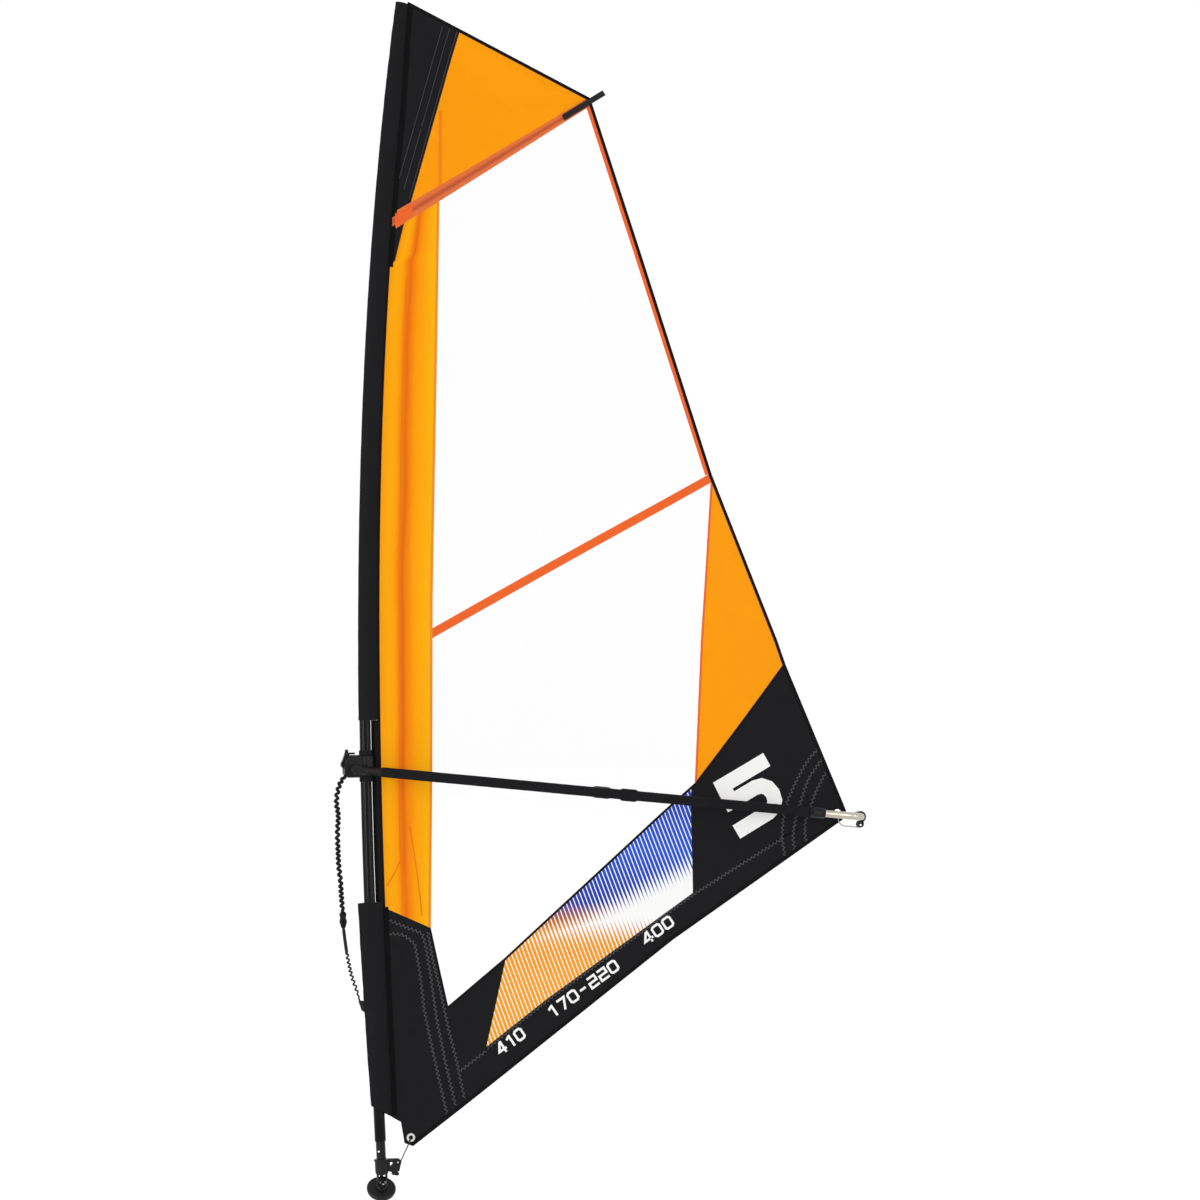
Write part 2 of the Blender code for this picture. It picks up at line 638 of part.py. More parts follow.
def build_sail(seams):
    """Every cloth and film panel, the piping on the free edges and the two eyelets."""
    head, head_in, leech, leech_in = (seams[key] for key in ("head", "head_in", "leech", "leech_in"))
    pocket_top, pocket_low = seams["pocket_top"], seams["pocket_low"]
    pocket_leech_top, pocket_leech_low = seams["pocket_end"]
    strip_low, strip_luff, strip_leech, strip_edge, strip_leech_low = seams["strip"]
    black_low = on_line(*pocket_top, BLACK_SEAM_X)
    corner_top = on_line(*pocket_low, CORNER_SEAM_X)
    luff_top = on_line(*pocket_low, LUFF_PANEL_TOP_X)
    black_top = on_line(*head_in, HEAD_BLACK[0])

    # The luff points run upwards, so an outline that starts with them goes on down its other side.
    panel("head_panel_black", luff_edge(POCKET_TOP_Z, head_in[0][1]) + [black_top, black_low], "black_cloth")
    panel("head_corner_black", luff_edge(CORNER_LUFF_Z, POCKET_LOW_Z) + [corner_top, CORNER_LOW], "black_cloth")
    panel("head_panel_orange", [black_low, black_top, pocket_leech_top], "orange_cloth")
    luff_side = luff_edge(LUFF_PANEL_FOOT_Z, CORNER_LUFF_Z)
    panel("luff_panel", luff_side + [CORNER_LOW, corner_top, luff_top] + LUFF_SEAM, "orange_cloth", step_x=FOLD_STEP)
    panel("window_upper", [STRIP_LUFF, LUFF_SEAM[1], LUFF_SEAM[0], luff_top, pocket_leech_low, leech_in[1],
                           strip_leech], "clear_film")
    panel("middle_seam_strip", seams["strip"], "red_tape")
    panel("window_lower", [WINDOW_POINT, LUFF_SEAM[3], LUFF_SEAM[2], strip_low, strip_leech_low, LEECH_SEAM[0],
                           LEECH_SEAM[1], PRINT_CLEW_TOP, PRINT_TOP], "clear_film")
    panel("leech_panel", [LEECH_SEAM[1], LEECH_SEAM[0], strip_leech_low, leech_in[3], leech_in[4]], "orange_cloth")
    panel("clew_patch", [LEECH_SEAM[1], leech_in[4], CLEW_SHOULDER, CLEW_TOP, CLEW, CLEW_BOTTOM, FOOT_CLEW, BAND_CLEW,
                         PRINT_CLEW_LOW, PRINT_CLEW_TOP], "black_cloth")
    panel("print_panel", [PRINT_TOP, PRINT_CLEW_TOP, PRINT_CLEW_LOW, PRINT_MIDDLE, PRINT_TACK], "print_cloth")
    panel("foot_band", [PRINT_TACK, PRINT_MIDDLE, PRINT_CLEW_LOW, BAND_CLEW, FOOT_CLEW, FOOT_AFT, FOOT_MIDDLE,
                        FOOT_BAND_TACK], "black_cloth")
    tack_luff = luff_edge(TACK_LUFF_Z, LUFF_PANEL_FOOT_Z)
    panel("tack_panel", tack_luff + [LUFF_SEAM[3], WINDOW_POINT, PRINT_TOP, PRINT_TACK, FOOT_BAND_TACK, FOOT_TACK,
                                     TACK_AFT, TACK, TACK_FRONT], "black_cloth")
    panel("head_piping", head + head_in[::-1], "black_cloth", thick=PIPING_THICK)
    panel("leech_piping", leech + leech_in[::-1], "black_cloth", thick=PIPING_THICK)
    for name, sheet, place in (("tack_eyelet", "tack_panel", TACK_EYELET), ("clew_eyelet", "clew_patch", CLEW_EYELET)):
        build_eyelet(name, sheet, place)


def build_eyelet(name, sheet, place):
    """A pressed ring through a panel, with a flange on each face."""
    centre = Vector((place[0], sail_y(*place), place[1]))
    seat = CLOTH / 2 + TOUCH
    rim = seat + 0.001
    profile = [(EYELET_BORE, -rim - 0.0005), (EYELET_RADIUS, -rim), (EYELET_RADIUS, -seat), (EYELET_BARREL, -seat),
               (EYELET_BARREL, seat), (EYELET_RADIUS, seat), (EYELET_RADIUS, rim), (EYELET_BORE, rim + 0.0005)]
    lathe(name, profile, "steel", (0, 1, 0), centre)
    hole = rod(f"{name}_hole", centre - Vector((0, 0.01, 0)), centre + Vector((0, 0.01, 0)),
               EYELET_BARREL + TOUCH, "steel")
    combine(bpy.data.objects[sheet], hole, "DIFFERENCE")


def build_batten(seams):
    """The pocket under the head panel, the batten in it and the tensioner at the leech."""
    top, low = seams["pocket_top"], seams["pocket_low"]
    end_top, end_low = seams["pocket_end"]
    slant = Vector(end_top) - Vector(top[0])
    along = slant.normalized()
    tall = 1 / along.x  # sections stand upright, so heights across the slanting pocket are longer
    first = top[0][0] + 0.002

    def place(share, side, proud):
        """A point of the pocket: share of its length, height over its middle line, height over the cloth."""
        upper = Vector(on_line(*top, first)).lerp(Vector(end_top), share)
        lower = Vector(on_line(*low, first)).lerp(Vector(end_low), share)
        up = (upper - lower).normalized()
        spot = (upper + lower) / 2 + up * side
        return Vector((spot.x, sail_y(spot.x, spot.y) + proud, spot.y)), (upper - lower).length / 2 - TOUCH

    room = ((BATTEN_WIDTH / 2 + POCKET_ROOM) * tall, BATTEN_THICK / 2 + POCKET_ROOM)
    proud = room[1] + CLOTH
    shoulder = room[0] + 0.002
    shares = list(np.linspace(0, 0.995, 9))
    rings, bores = [], []
    for share in shares:
        half = place(share, 0, 0)[1]
        outer = [(-half, -CLOTH / 2), (-shoulder, -proud), (shoulder, -proud), (half, -CLOTH / 2),
                 (half, CLOTH / 2), (shoulder, proud), (-shoulder, proud), (-half, CLOTH / 2)]
        inner = [(-room[0], 0), (-room[0], -room[1]), (room[0], -room[1]), (room[0], 0),
                 (room[0], 0.0001), (room[0], room[1]), (-room[0], room[1]), (-room[0], 0.0001)]
        rings.append([place(share, a, b)[0] for a, b in outer])
        bores.append([place(share, a, b)[0] for a, b in inner])
    loft("batten_pocket", rings, "red_tape", inner=bores)

    def bar(name, shares, width, thick, centre, finish):
        half = width * tall / 2
        section = [(-half, -thick / 2), (half, -thick / 2), (half, thick / 2), (-half, thick / 2)]
        loft(name, [[place(d, a, b + centre)[0] for a, b in section] for d in shares], finish)

    bar("batten", shares, BATTEN_WIDTH, BATTEN_THICK, 0, "black_plastic")
    outside = -(proud + TOUCH + TENSIONER_THICK / 2)
    tip = 1 + TENSIONER_REACH / slant.length
    bar("batten_tensioner", shares[-2:] + [tip], TENSIONER_WIDTH, TENSIONER_THICK, outside, "black_plastic")


# Boom

def boom_matrix(head_matrix):
    """The boom's own frame, with u along X from the mast. It shares the trunnion with the head."""
    tip = Matrix.Rotation(math.atan(BOOM_DROP), 4, "Y")
    pivot = head_matrix @ Vector((-TRUNNION_AHEAD, 0, -TRUNNION_DROP))
    return Matrix.Translation(pivot) @ tip @ Matrix.Translation((TRUNNION_AHEAD, 0, 0))


def arm_stations(start, end):
    """Distances aft at which the arm and its grip have their rings, so that they bend alike."""
    swell = [ARM_WIDEST_JOINT + SWELL_HALF * share for share in (-1, -0.6, 0.6, 1)]
    curved = [share * TAIL_STRAIGHT for share in ARM_STATIONS + ARM_TAIL_STATIONS]
    inner = sorted([GRIP_START] + curved + swell + [TAIL_STRAIGHT, GRIP_END])
    return [start] + [u for u in inner if start < u < end] + [end]


def arm_route(distances):
    """Points of the starboard arm at distances aft of the mast, with the sideways direction at each."""
    knots = [(ARM_START - 0.06, ARM_FRONT_V - 0.014), (ARM_START, ARM_FRONT_V)]
    knots += [(share * TAIL_STRAIGHT, v) for share, v in ARM_SHAPE]
    knots += [(TAIL_STRAIGHT, TAIL_V), (TAIL_STRAIGHT + 0.15, TAIL_V), (TAIL_BEND + 0.1, TAIL_V)]
    dense = smooth_route([(u, v, 0) for u, v in knots], 24)
    us = [p.x for p in dense]
    vs = [TAIL_V if p.x > TAIL_STRAIGHT else p.y for p in dense]
    out = []
    for u in distances:
        slope = float(np.interp(u + 0.004, us, vs) - np.interp(u - 0.004, us, vs)) / 0.008
        along = Vector((1, slope, 0)).normalized()
        out.append((Vector((u, float(np.interp(u, us, vs)), 0)), Vector((-along.y, along.x, 0))))
    return out


def arm_ring(point, sideways, radius, side):
    """A ring round one arm. side is 1 to starboard and -1 to port."""
    angles = [2 * math.pi * (i + 0.5) / TUBE_SIDES for i in range(TUBE_SIDES)]
    ring = [point + sideways * radius * math.cos(a) + Vector((0, 0, radius * math.sin(a))) for a in angles]
    return [Vector((p.x, p.y * side, p.z)) for p in ring]


def arm_tube(name, side, distances, outer, inner, finish, parent):
    """A tube along one arm. outer and inner give radii at a distance aft."""
    route = arm_route(distances)
    rings = [arm_ring(p, n, outer(p.x), side) for p, n in route]
    bores = [arm_ring(p, n, inner(p.x), side) for p, n in route] if inner else None
    return loft(name, rings, finish, parent, inner=bores)


def grip_radius(u):
    """The foam's radius, swollen over the joint in the middle of the arm."""
    swell = JOINT_SWELL if abs(u - ARM_WIDEST_JOINT) < SWELL_HALF * 0.8 else 0
    return ARM_RADIUS + TOUCH + GRIP_THICK + swell


def build_boom_arms(parent):
    """Knuckle, arm, foam grip, lock collar and lock lever on each side."""
    bore = ARM_RADIUS - ARM_WALL
    for name, side in (("port", -1), ("starboard", 1)):
        arm_tube(f"boom_arm_{name}", side, arm_stations(ARM_START, ARM_END), lambda u: ARM_RADIUS,
                 lambda u: bore, "black_alloy", parent)
        arm_tube(f"boom_grip_{name}", side, arm_stations(GRIP_START, GRIP_END), grip_radius,
                 lambda u: ARM_RADIUS + TOUCH, "foam", parent)
        knuckle = arm_tube(f"arm_knuckle_{name}", side, (ARM_START - 0.030, ARM_START, GRIP_START),
                           lambda u: bore - RUN, None, "black_plastic", parent)
        inner = HEAD_HALF_WIDTH + 0.002
        outer = ARM_FRONT_V + ARM_RADIUS
        heel = ARM_START - ARM_RADIUS * 0.4
        hub_radius = ARM_RADIUS + HUB_LIP
        shape = arc((-TRUNNION_AHEAD, 0), hub_radius, 60, 300, 9) + [(heel, -hub_radius + 0.0005),
                                                                     (heel, hub_radius - 0.0005)]
        hub = prism(f"hub_{name}", shape, side * inner, side * outer, "black_plastic", parent=parent)
        combine(knuckle, hub, "UNION")
        hole = rod(f"hub_hole_{name}", (-TRUNNION_AHEAD, side * (inner - 0.01), 0),
                   (-TRUNNION_AHEAD, side * (outer + 0.01), 0), TRUNNION_RADIUS + RUN, "steel", parent=parent)
        combine(knuckle, hole, "DIFFERENCE")
        build_lock(name, side, parent)


def build_lock(name, side, parent):
    """The collar on an arm's end and the flip lever, hinged on it, that pinches it on the tail tube."""
    seat = ARM_RADIUS + TOUCH
    rim = seat + COLLAR_WALL
    start, end = GRIP_END + TOUCH, GRIP_END + COLLAR_LENGTH
    tube = ARM_RADIUS - ARM_WALL
    profile = [(rim - 0.002, start), (rim, start + 0.006), (rim, end - 0.006), (rim - 0.002, end),
               (tube, end), (tube, ARM_END + TOUCH), (seat, ARM_END + TOUCH), (seat, start)]
    collar = lathe(f"lock_collar_{name}", profile, "black_plastic", (1, 0, 0), (0, side * TAIL_V, 0), TUBE_SIDES,
                   parent)
    hinge = (start + 0.011, TAIL_V + rim + TOUCH + LOCK_THICK)
    half = LOCK_WIDTH / 2
    ear = [(hinge[0] + 0.005, TAIL_V + seat + 0.001)] + arc(hinge, 0.0042, -20, 200, 8) + [
        (hinge[0] - 0.005, TAIL_V + seat + 0.001)]
    for low, high in ((-half - TOUCH - 0.003, -half - TOUCH), (half + TOUCH, half + TOUCH + 0.003)):
        tab = prism(f"ear_{name}", [(x, side * y) for x, y in ear], low, high, "black_plastic", "Z", parent)
        combine(collar, tab, "UNION")
    pin = ((hinge[0], side * hinge[1], -half - 0.0035), (hinge[0], side * hinge[1], half + 0.0035))
    combine(collar, rod(f"lock_hole_{name}", *pin, LOCK_PIN + TOUCH, "steel", parent=parent), "DIFFERENCE")
    near = TAIL_V + rim + TOUCH
    tip = hinge[0] + LOCK_LENGTH
    plate = arc(hinge, LOCK_THICK - TOUCH / 2, 90, 270, 7) + [
        (tip, near), (tip + 0.006, near + 0.006), (tip - 0.002, near + LOCK_THICK), (hinge[0] + 0.010, hinge[1] + 0.001)]
    lever = prism(f"lock_lever_{name}", [(x, side * y) for x, y in plate], -half, half, "black_plastic", "Z", parent)
    combine(lever, rod(f"lock_pin_{name}", *pin, LOCK_PIN, "steel", parent=parent), "UNION")


def build_boom_tail(parent):
    """The U-shaped tube in both arms, its end fitting and the outhaul's sheave."""
    radius = ARM_RADIUS - ARM_WALL - RUN
    route = [(Vector((u, TAIL_V, 0)), Vector((0, 1, 0))) for u in (TAIL_START, TAIL_BEND)]
    for angle in np.linspace(0, math.pi, 13)[1:-1]:
        outward = Vector((math.sin(angle), math.cos(angle), 0))
        route.append((Vector((TAIL_BEND, 0, 0)) + outward * TAIL_V, outward))
    route += [(Vector((u, -TAIL_V, 0)), Vector((0, -1, 0))) for u in (TAIL_BEND, TAIL_START)]
    rings = [arm_ring(p, n, radius, 1) for p, n in route]
    bores = [arm_ring(p, n, radius - TAIL_WALL, 1) for p, n in route]
    loft("tail_tube", rings, "alloy", parent, inner=bores)

    # The fitting grips the middle of the bend in a C and holds the sheave in a slot below it.
    middle = TAIL_BEND + TAIL_V - 0.0005
    seat = radius + 0.0018
    outer = seat + 0.006
    shell = arc((middle, 0), outer, 150, -60, 12) + arc((middle, 0), seat, -60, 150, 12)
    half = FITTING_WIDTH / 2
    fitting = prism("end_fitting", shell, -half, half, "black_plastic", parent=parent)
    sheave = (middle + 0.004, -outer - OUTHAUL_SHEAVE_RADIUS)
    cheek = [(middle - 0.006, -seat - 0.0015), (middle + outer * 0.7, -seat + 0.004), (sheave[0] + 0.014, sheave[1]),
             (sheave[0] + 0.008, sheave[1] - 0.008), (sheave[0] - 0.008, sheave[1] - 0.008), (sheave[0] - 0.013, sheave[1])]
    combine(fitting, prism("fitting_cheeks", cheek, -0.0085, 0.0085, "black_plastic", parent=parent), "UNION")
    slot = [(sheave[0] - 0.03, -outer + 0.0005), (sheave[0] + 0.03, -outer + 0.0005), (sheave[0] + 0.03, -0.06),
            (sheave[0] - 0.03, -0.06)]
    half = SHEAVE_WIDTH / 2 + TOUCH
    combine(fitting, prism("fitting_slot", slot, -half, half, "black_plastic", parent=parent), "DIFFERENCE")
    hole = rod("fitting_hole", (sheave[0], -0.02, sheave[1]), (sheave[0], 0.02, sheave[1]),
               AXLE_RADIUS + TOUCH, "steel", parent=parent)
    combine(fitting, hole, "DIFFERENCE")
    rod("outhaul_axle", (sheave[0], -0.0088, sheave[1]), (sheave[0], 0.0088, sheave[1]), AXLE_RADIUS, "steel",
        parent=parent)
    build_sheave("outhaul_sheave", (sheave[0], 0, sheave[1]), OUTHAUL_SHEAVE_RADIUS, parent)
    return sheave


def build_sheave(name, centre, radius, parent):
    """A grooved wheel that turns about Y."""
    half = SHEAVE_WIDTH / 2
    bore = AXLE_RADIUS + TOUCH
    profile = [(bore, -half), (radius, -half), (radius, -half * 0.7), (radius - 0.002, 0), (radius, half * 0.7),
               (radius, half), (bore, half)]
    lathe(name, profile, "black_plastic", (0, 1, 0), centre, parent=parent)


def build_boom_head(parent):
    """The clamp on the mast, its liner, the trunnion that the arms turn on and the cam lever."""
    inner = MAST_RADIUS + EASE
    liner = inner + LINER_WALL
    seat = liner + TOUCH
    outer = seat + CLAMP_WALL
    slit = math.degrees(CLAMP_SLIT / seat)

    def split_ring(name, low_r, high_r, height, finish):
        shape = arc((0, 0), high_r, 90 + slit, 450 - slit, 25) + arc((0, 0), low_r, 450 - slit, 90 + slit, 25)
        return prism(name, shape, -height / 2, height / 2, finish, "Z", parent)

    split_ring("clamp_liner", inner, liner, LINER_HEIGHT, "rubber")
    body = split_ring("clamp_body", seat, outer, CLAMP_HEIGHT, "black_plastic")
    half = HEAD_HEIGHT / 2
    back = -math.sqrt(outer**2 - HEAD_HALF_WIDTH**2) + 0.001
    side_view = [(back, -half + 0.012), (back, half - 0.012), (back - 0.012, half), (-HEAD_FRONT + 0.022, half),
                 (-HEAD_FRONT + 0.006, half - 0.012), (-HEAD_FRONT, 0.010), (-HEAD_FRONT, -half + CHIN),
                 (-HEAD_FRONT + CHIN, -half), (back - 0.010, -half)]
    block = prism("head_block", side_view, -HEAD_HALF_WIDTH, HEAD_HALF_WIDTH, "black_plastic", parent=parent)
    core = rod("head_core", (0, 0, -half - 0.01), (0, 0, half + 0.01), seat + 0.002, "rubber", 32, parent)
    combine(block, core, "DIFFERENCE")
    combine(body, block, "UNION")
    reach = ARM_FRONT_V + ARM_RADIUS + 0.004
    trunnion = ((-TRUNNION_AHEAD, -reach, -TRUNNION_DROP), (-TRUNNION_AHEAD, reach, -TRUNNION_DROP))
    combine(body, rod("trunnion_hole", *trunnion, TRUNNION_RADIUS + RUN, "steel", parent=parent), "DIFFERENCE")
    rod("trunnion_pin", *trunnion, TRUNNION_RADIUS, "black_alloy", parent=parent)

    # The lever sits in a slot in the front of the block and lies back over its top.
    slot_half = LEVER_WIDTH / 2 + TOUCH
    pin = (-LEVER_PIN_AHEAD, 0.008)
    room = CAM_RADIUS + 0.0006
    slot = arc(pin, room, 250, 90, 9) + [(pin[0] + room, pin[1] + room), (pin[0] + room, pin[1] - 0.004)]
    slot = [(-HEAD_FRONT - 0.02, pin[1] - room), (pin[0], pin[1] - room)] + arc(pin, room, -90, 0, 6) + [
        (pin[0] + room, half + 0.02), (-HEAD_FRONT - 0.02, half + 0.02)]
    combine(body, prism("lever_slot", slot, -slot_half, slot_half, "black_plastic", parent=parent), "DIFFERENCE")
    span = HEAD_HALF_WIDTH - 0.003
    ends = ((pin[0], -span, pin[1]), (pin[0], span, pin[1]))
    combine(body, rod("lever_hole", *ends, LEVER_PIN_RADIUS + TOUCH, "steel", parent=parent), "DIFFERENCE")
    rod("lever_pin", *ends, LEVER_PIN_RADIUS, "steel", parent=parent)
    top = half + 0.0025
    handle = arc(pin, CAM_RADIUS, 330, 130, 14) + [
        (-HEAD_FRONT + 0.004, top), (-HEAD_FRONT + 0.008, top + 0.018), (-HEAD_FRONT + 0.015, top + 0.018),
        (-HEAD_FRONT + 0.017, top + 0.007), (-LEVER_END, top + 0.007), (-LEVER_END, top),
        (-HEAD_FRONT + 0.020, top), (pin[0] + CAM_RADIUS * 0.95, pin[1] + 0.012)]
    lever = prism("clamp_lever", handle, -LEVER_WIDTH / 2, LEVER_WIDTH / 2, "black_plastic", parent=parent)
    wide = rod("lever_bore", (pin[0], -span, pin[1]), (pin[0], span, pin[1]), LEVER_PIN_RADIUS + TOUCH, "steel",
               parent=parent)
    combine(lever, wide, "DIFFERENCE")


# Mast foot

def build_extension(parent):
    """The extension tube, the pulley housing on its foot, the cleat and the downhaul's sheave."""
    bore = EXTENSION_RADIUS - EXTENSION_WALL
    profile = [(EXTENSION_RADIUS, EXTENSION_FOOT), (EXTENSION_RADIUS, EXTENSION_TOP), (bore, EXTENSION_TOP),
               (bore, EXTENSION_FOOT)]
    lathe("extension_tube", profile, "black_alloy", (0, 0, 1), (0, 0, 0), parent=parent)
    seat = EXTENSION_RADIUS + TOUCH
    profile = [(HOUSING_RADIUS, COLLAR_FOOT), (HOUSING_RADIUS, COLLAR_TOP - 0.008), (HOUSING_LIP, COLLAR_TOP - 0.006),
               (HOUSING_LIP, COLLAR_TOP), (seat, COLLAR_TOP), (seat, COLLAR_FOOT)]
    housing = lathe("pulley_housing", profile, "black_plastic", (0, 0, 1), (0, 0, 0), 24, parent)
    spot = DOWNHAUL_SHEAVE
    root = seat + 0.002
    cheek = [(root, COLLAR_FOOT + 0.002), (0.040, 0.026), (spot[0] + 0.004, 0.028)] + arc(spot, 0.013, -40, 90, 6)
    cheek += [(root, COLLAR_TOP - 0.001)]
    window = [(0.029, 0.062), (0.040, 0.064), (0.041, 0.054), (0.030, 0.046)]
    for name, low, high in (("cheek_port", -CHEEK_OUTER, -CHEEK_INNER), ("cheek_starboard", CHEEK_INNER, CHEEK_OUTER)):
        combine(housing, prism(name, cheek, low, high, "black_plastic", parent=parent), "UNION")
    combine(housing, prism("cheek_window", window, -0.02, 0.02, "black_plastic", parent=parent), "DIFFERENCE")
    ends = ((spot[0], -CHEEK_OUTER - 0.001, spot[1]), (spot[0], CHEEK_OUTER + 0.001, spot[1]))
    combine(housing, rod("sheave_hole", *ends, AXLE_RADIUS + TOUCH, "steel", parent=parent), "DIFFERENCE")
    rod("downhaul_axle", *ends, AXLE_RADIUS, "steel", parent=parent)
    build_sheave("downhaul_sheave", (spot[0], 0, spot[1]), DOWNHAUL_SHEAVE_RADIUS, parent)
    tongue = [(0.027, 0.029), (0.042, 0.0275), (0.042, 0.036), (0.027, 0.036)]
    tip = arc(CLEAT_TIP, CLEAT_TIP_RADIUS, -90, 60, 7)
    shape = [(0.036, 0.0175), (0.046, 0.0150)] + tip + [(0.048, 0.0262 - TOUCH), (0.036, 0.0257 - TOUCH)]
    build_cleat(shape, tongue, parent)


def build_cleat(shape, tongue, parent):
    """The jam cleat under the housing's cheeks, with a tongue up between them."""
    cleat = prism("downhaul_cleat", shape, -CLEAT_HALF_WIDTH, CLEAT_HALF_WIDTH, "black_plastic", parent=parent)
    half = CHEEK_INNER - TOUCH
    low = [(tongue[1][0] - 0.004, 0.020), (tongue[1][0] + 0.004, 0.020), (tongue[1][0] + 0.004, 0.040),
           (tongue[1][0] - 0.004, 0.040)]
    combine(cleat, prism("cleat_tongue", low, -half, half, "black_plastic", parent=parent), "UNION")


def fork_ears(name, parent, up):
    """Two round-ended ears across X, from the joint's pin to the fork's bridge. up is 1 or -1."""
    made = []
    for side in (-1, 1):
        outline = [(-EAR_HALF_WIDTH, up * (FORK_BRIDGE + 0.002)), (EAR_HALF_WIDTH, up * (FORK_BRIDGE + 0.002))]
        outline += [(x, up * z) for x, z in arc((0, -EAR_TIP + EAR_HALF_WIDTH), EAR_HALF_WIDTH, 0, -180, 9)]
        bm = bmesh.new()
        rings = [[bm.verts.new((side * x, y, z)) for y, z in outline] for x in (EAR_INNER, EAR_OUTER)]
        skin(bm, rings)
        bm.faces.new(rings[0])
        bm.faces.new(rings[1])
        made.append(solid(f"{name}_ear_{'port' if side < 0 else 'starboard'}", bm, "black_plastic", parent))
    return made


def build_foot(mast_frame, base_frame):
    """The swivel fork under the extension, the cross and the round base that it tips on."""
    spigot = EXTENSION_RADIUS - EXTENSION_WALL - RUN
    top = COLLAR_FOOT - TOUCH
    flange = HOUSING_RADIUS - 0.0015
    rings = [(flange - 0.004, FORK_BRIDGE), (flange, FORK_BRIDGE + 0.003), (flange, top), (spigot, top),
             (spigot, top + 0.030)]
    fork = loft("swivel_fork", [circle(r, z) for r, z in rings], "black_plastic", mast_frame)
    for ear in fork_ears("swivel", mast_frame, 1):
        combine(fork, ear, "UNION")
    reach = EAR_OUTER + 0.001
    across = ((-reach, 0, 0), (reach, 0, 0))
    hole = rod("swivel_hole", *across, CROSS_PIN_RADIUS + TOUCH, "steel", parent=mast_frame)
    combine(fork, hole, "DIFFERENCE")

    size = EAR_INNER - 0.0006
    square = [(-size, -size), (size, -size), (size, size), (-size, size)]
    cross = prism("joint_cross", square, -0.006, 0.006, "steel", "Z", base_frame)
    pin = EAR_OUTER
    combine(cross, rod("pin_across", (-pin, 0, 0), (pin, 0, 0), CROSS_PIN_RADIUS, "steel", parent=base_frame), "UNION")
    combine(cross, rod("pin_along", (0, -pin, 0), (0, pin, 0), CROSS_PIN_RADIUS, "steel", parent=base_frame), "UNION")

    low = BASE_TOP + BASE_THICK
    rings = [(0.016, -FORK_BRIDGE), (0.021, -FORK_BRIDGE - 0.004), (0.023, -BASE_TOP + 0.002),
             (BASE_RADIUS - 0.004, -BASE_TOP), (BASE_RADIUS, -BASE_TOP - 0.004), (BASE_RADIUS, -low),
             (STUD_RADIUS, -low), (STUD_RADIUS, -low - TOUCH - PAD_THICK - STUD_REACH)]
    base = loft("base_plate", [circle(r, z, 32) for r, z in rings], "black_plastic", base_frame)
    turned = frame_empty("base_fork_frame", base_frame.matrix_world @ Matrix.Rotation(math.pi / 2, 4, "Z"))
    for ear in fork_ears("base", turned, -1):
        join_here(base, ear)
    hole = rod("base_hole", (0, -reach, 0), (0, reach, 0), CROSS_PIN_RADIUS + TOUCH, "steel", parent=base_frame)
    combine(base, hole, "DIFFERENCE")
    profile = [(STUD_RADIUS + TOUCH, -low - TOUCH), (BASE_RADIUS - 0.001, -low - TOUCH),
               (BASE_RADIUS - 0.002, -low - TOUCH - PAD_THICK), (STUD_RADIUS + TOUCH, -low - TOUCH - PAD_THICK)]
    lathe("base_pad", profile, "rubber", (0, 0, 1), (0, 0, 0), 32, base_frame)


def join_here(item, other):
    """Joins a shape that hangs under another empty than the piece does."""
    keep = other.parent
    combine(item, other, "UNION")
    other.parent = keep


def circle(radius, height, sides=24):
    """A level ring of points about Z."""
    angles = [2 * math.pi * (i + 0.5) / sides for i in range(sides)]
    return [Vector((radius * math.cos(a), radius * math.sin(a), height)) for a in angles]


# Lines

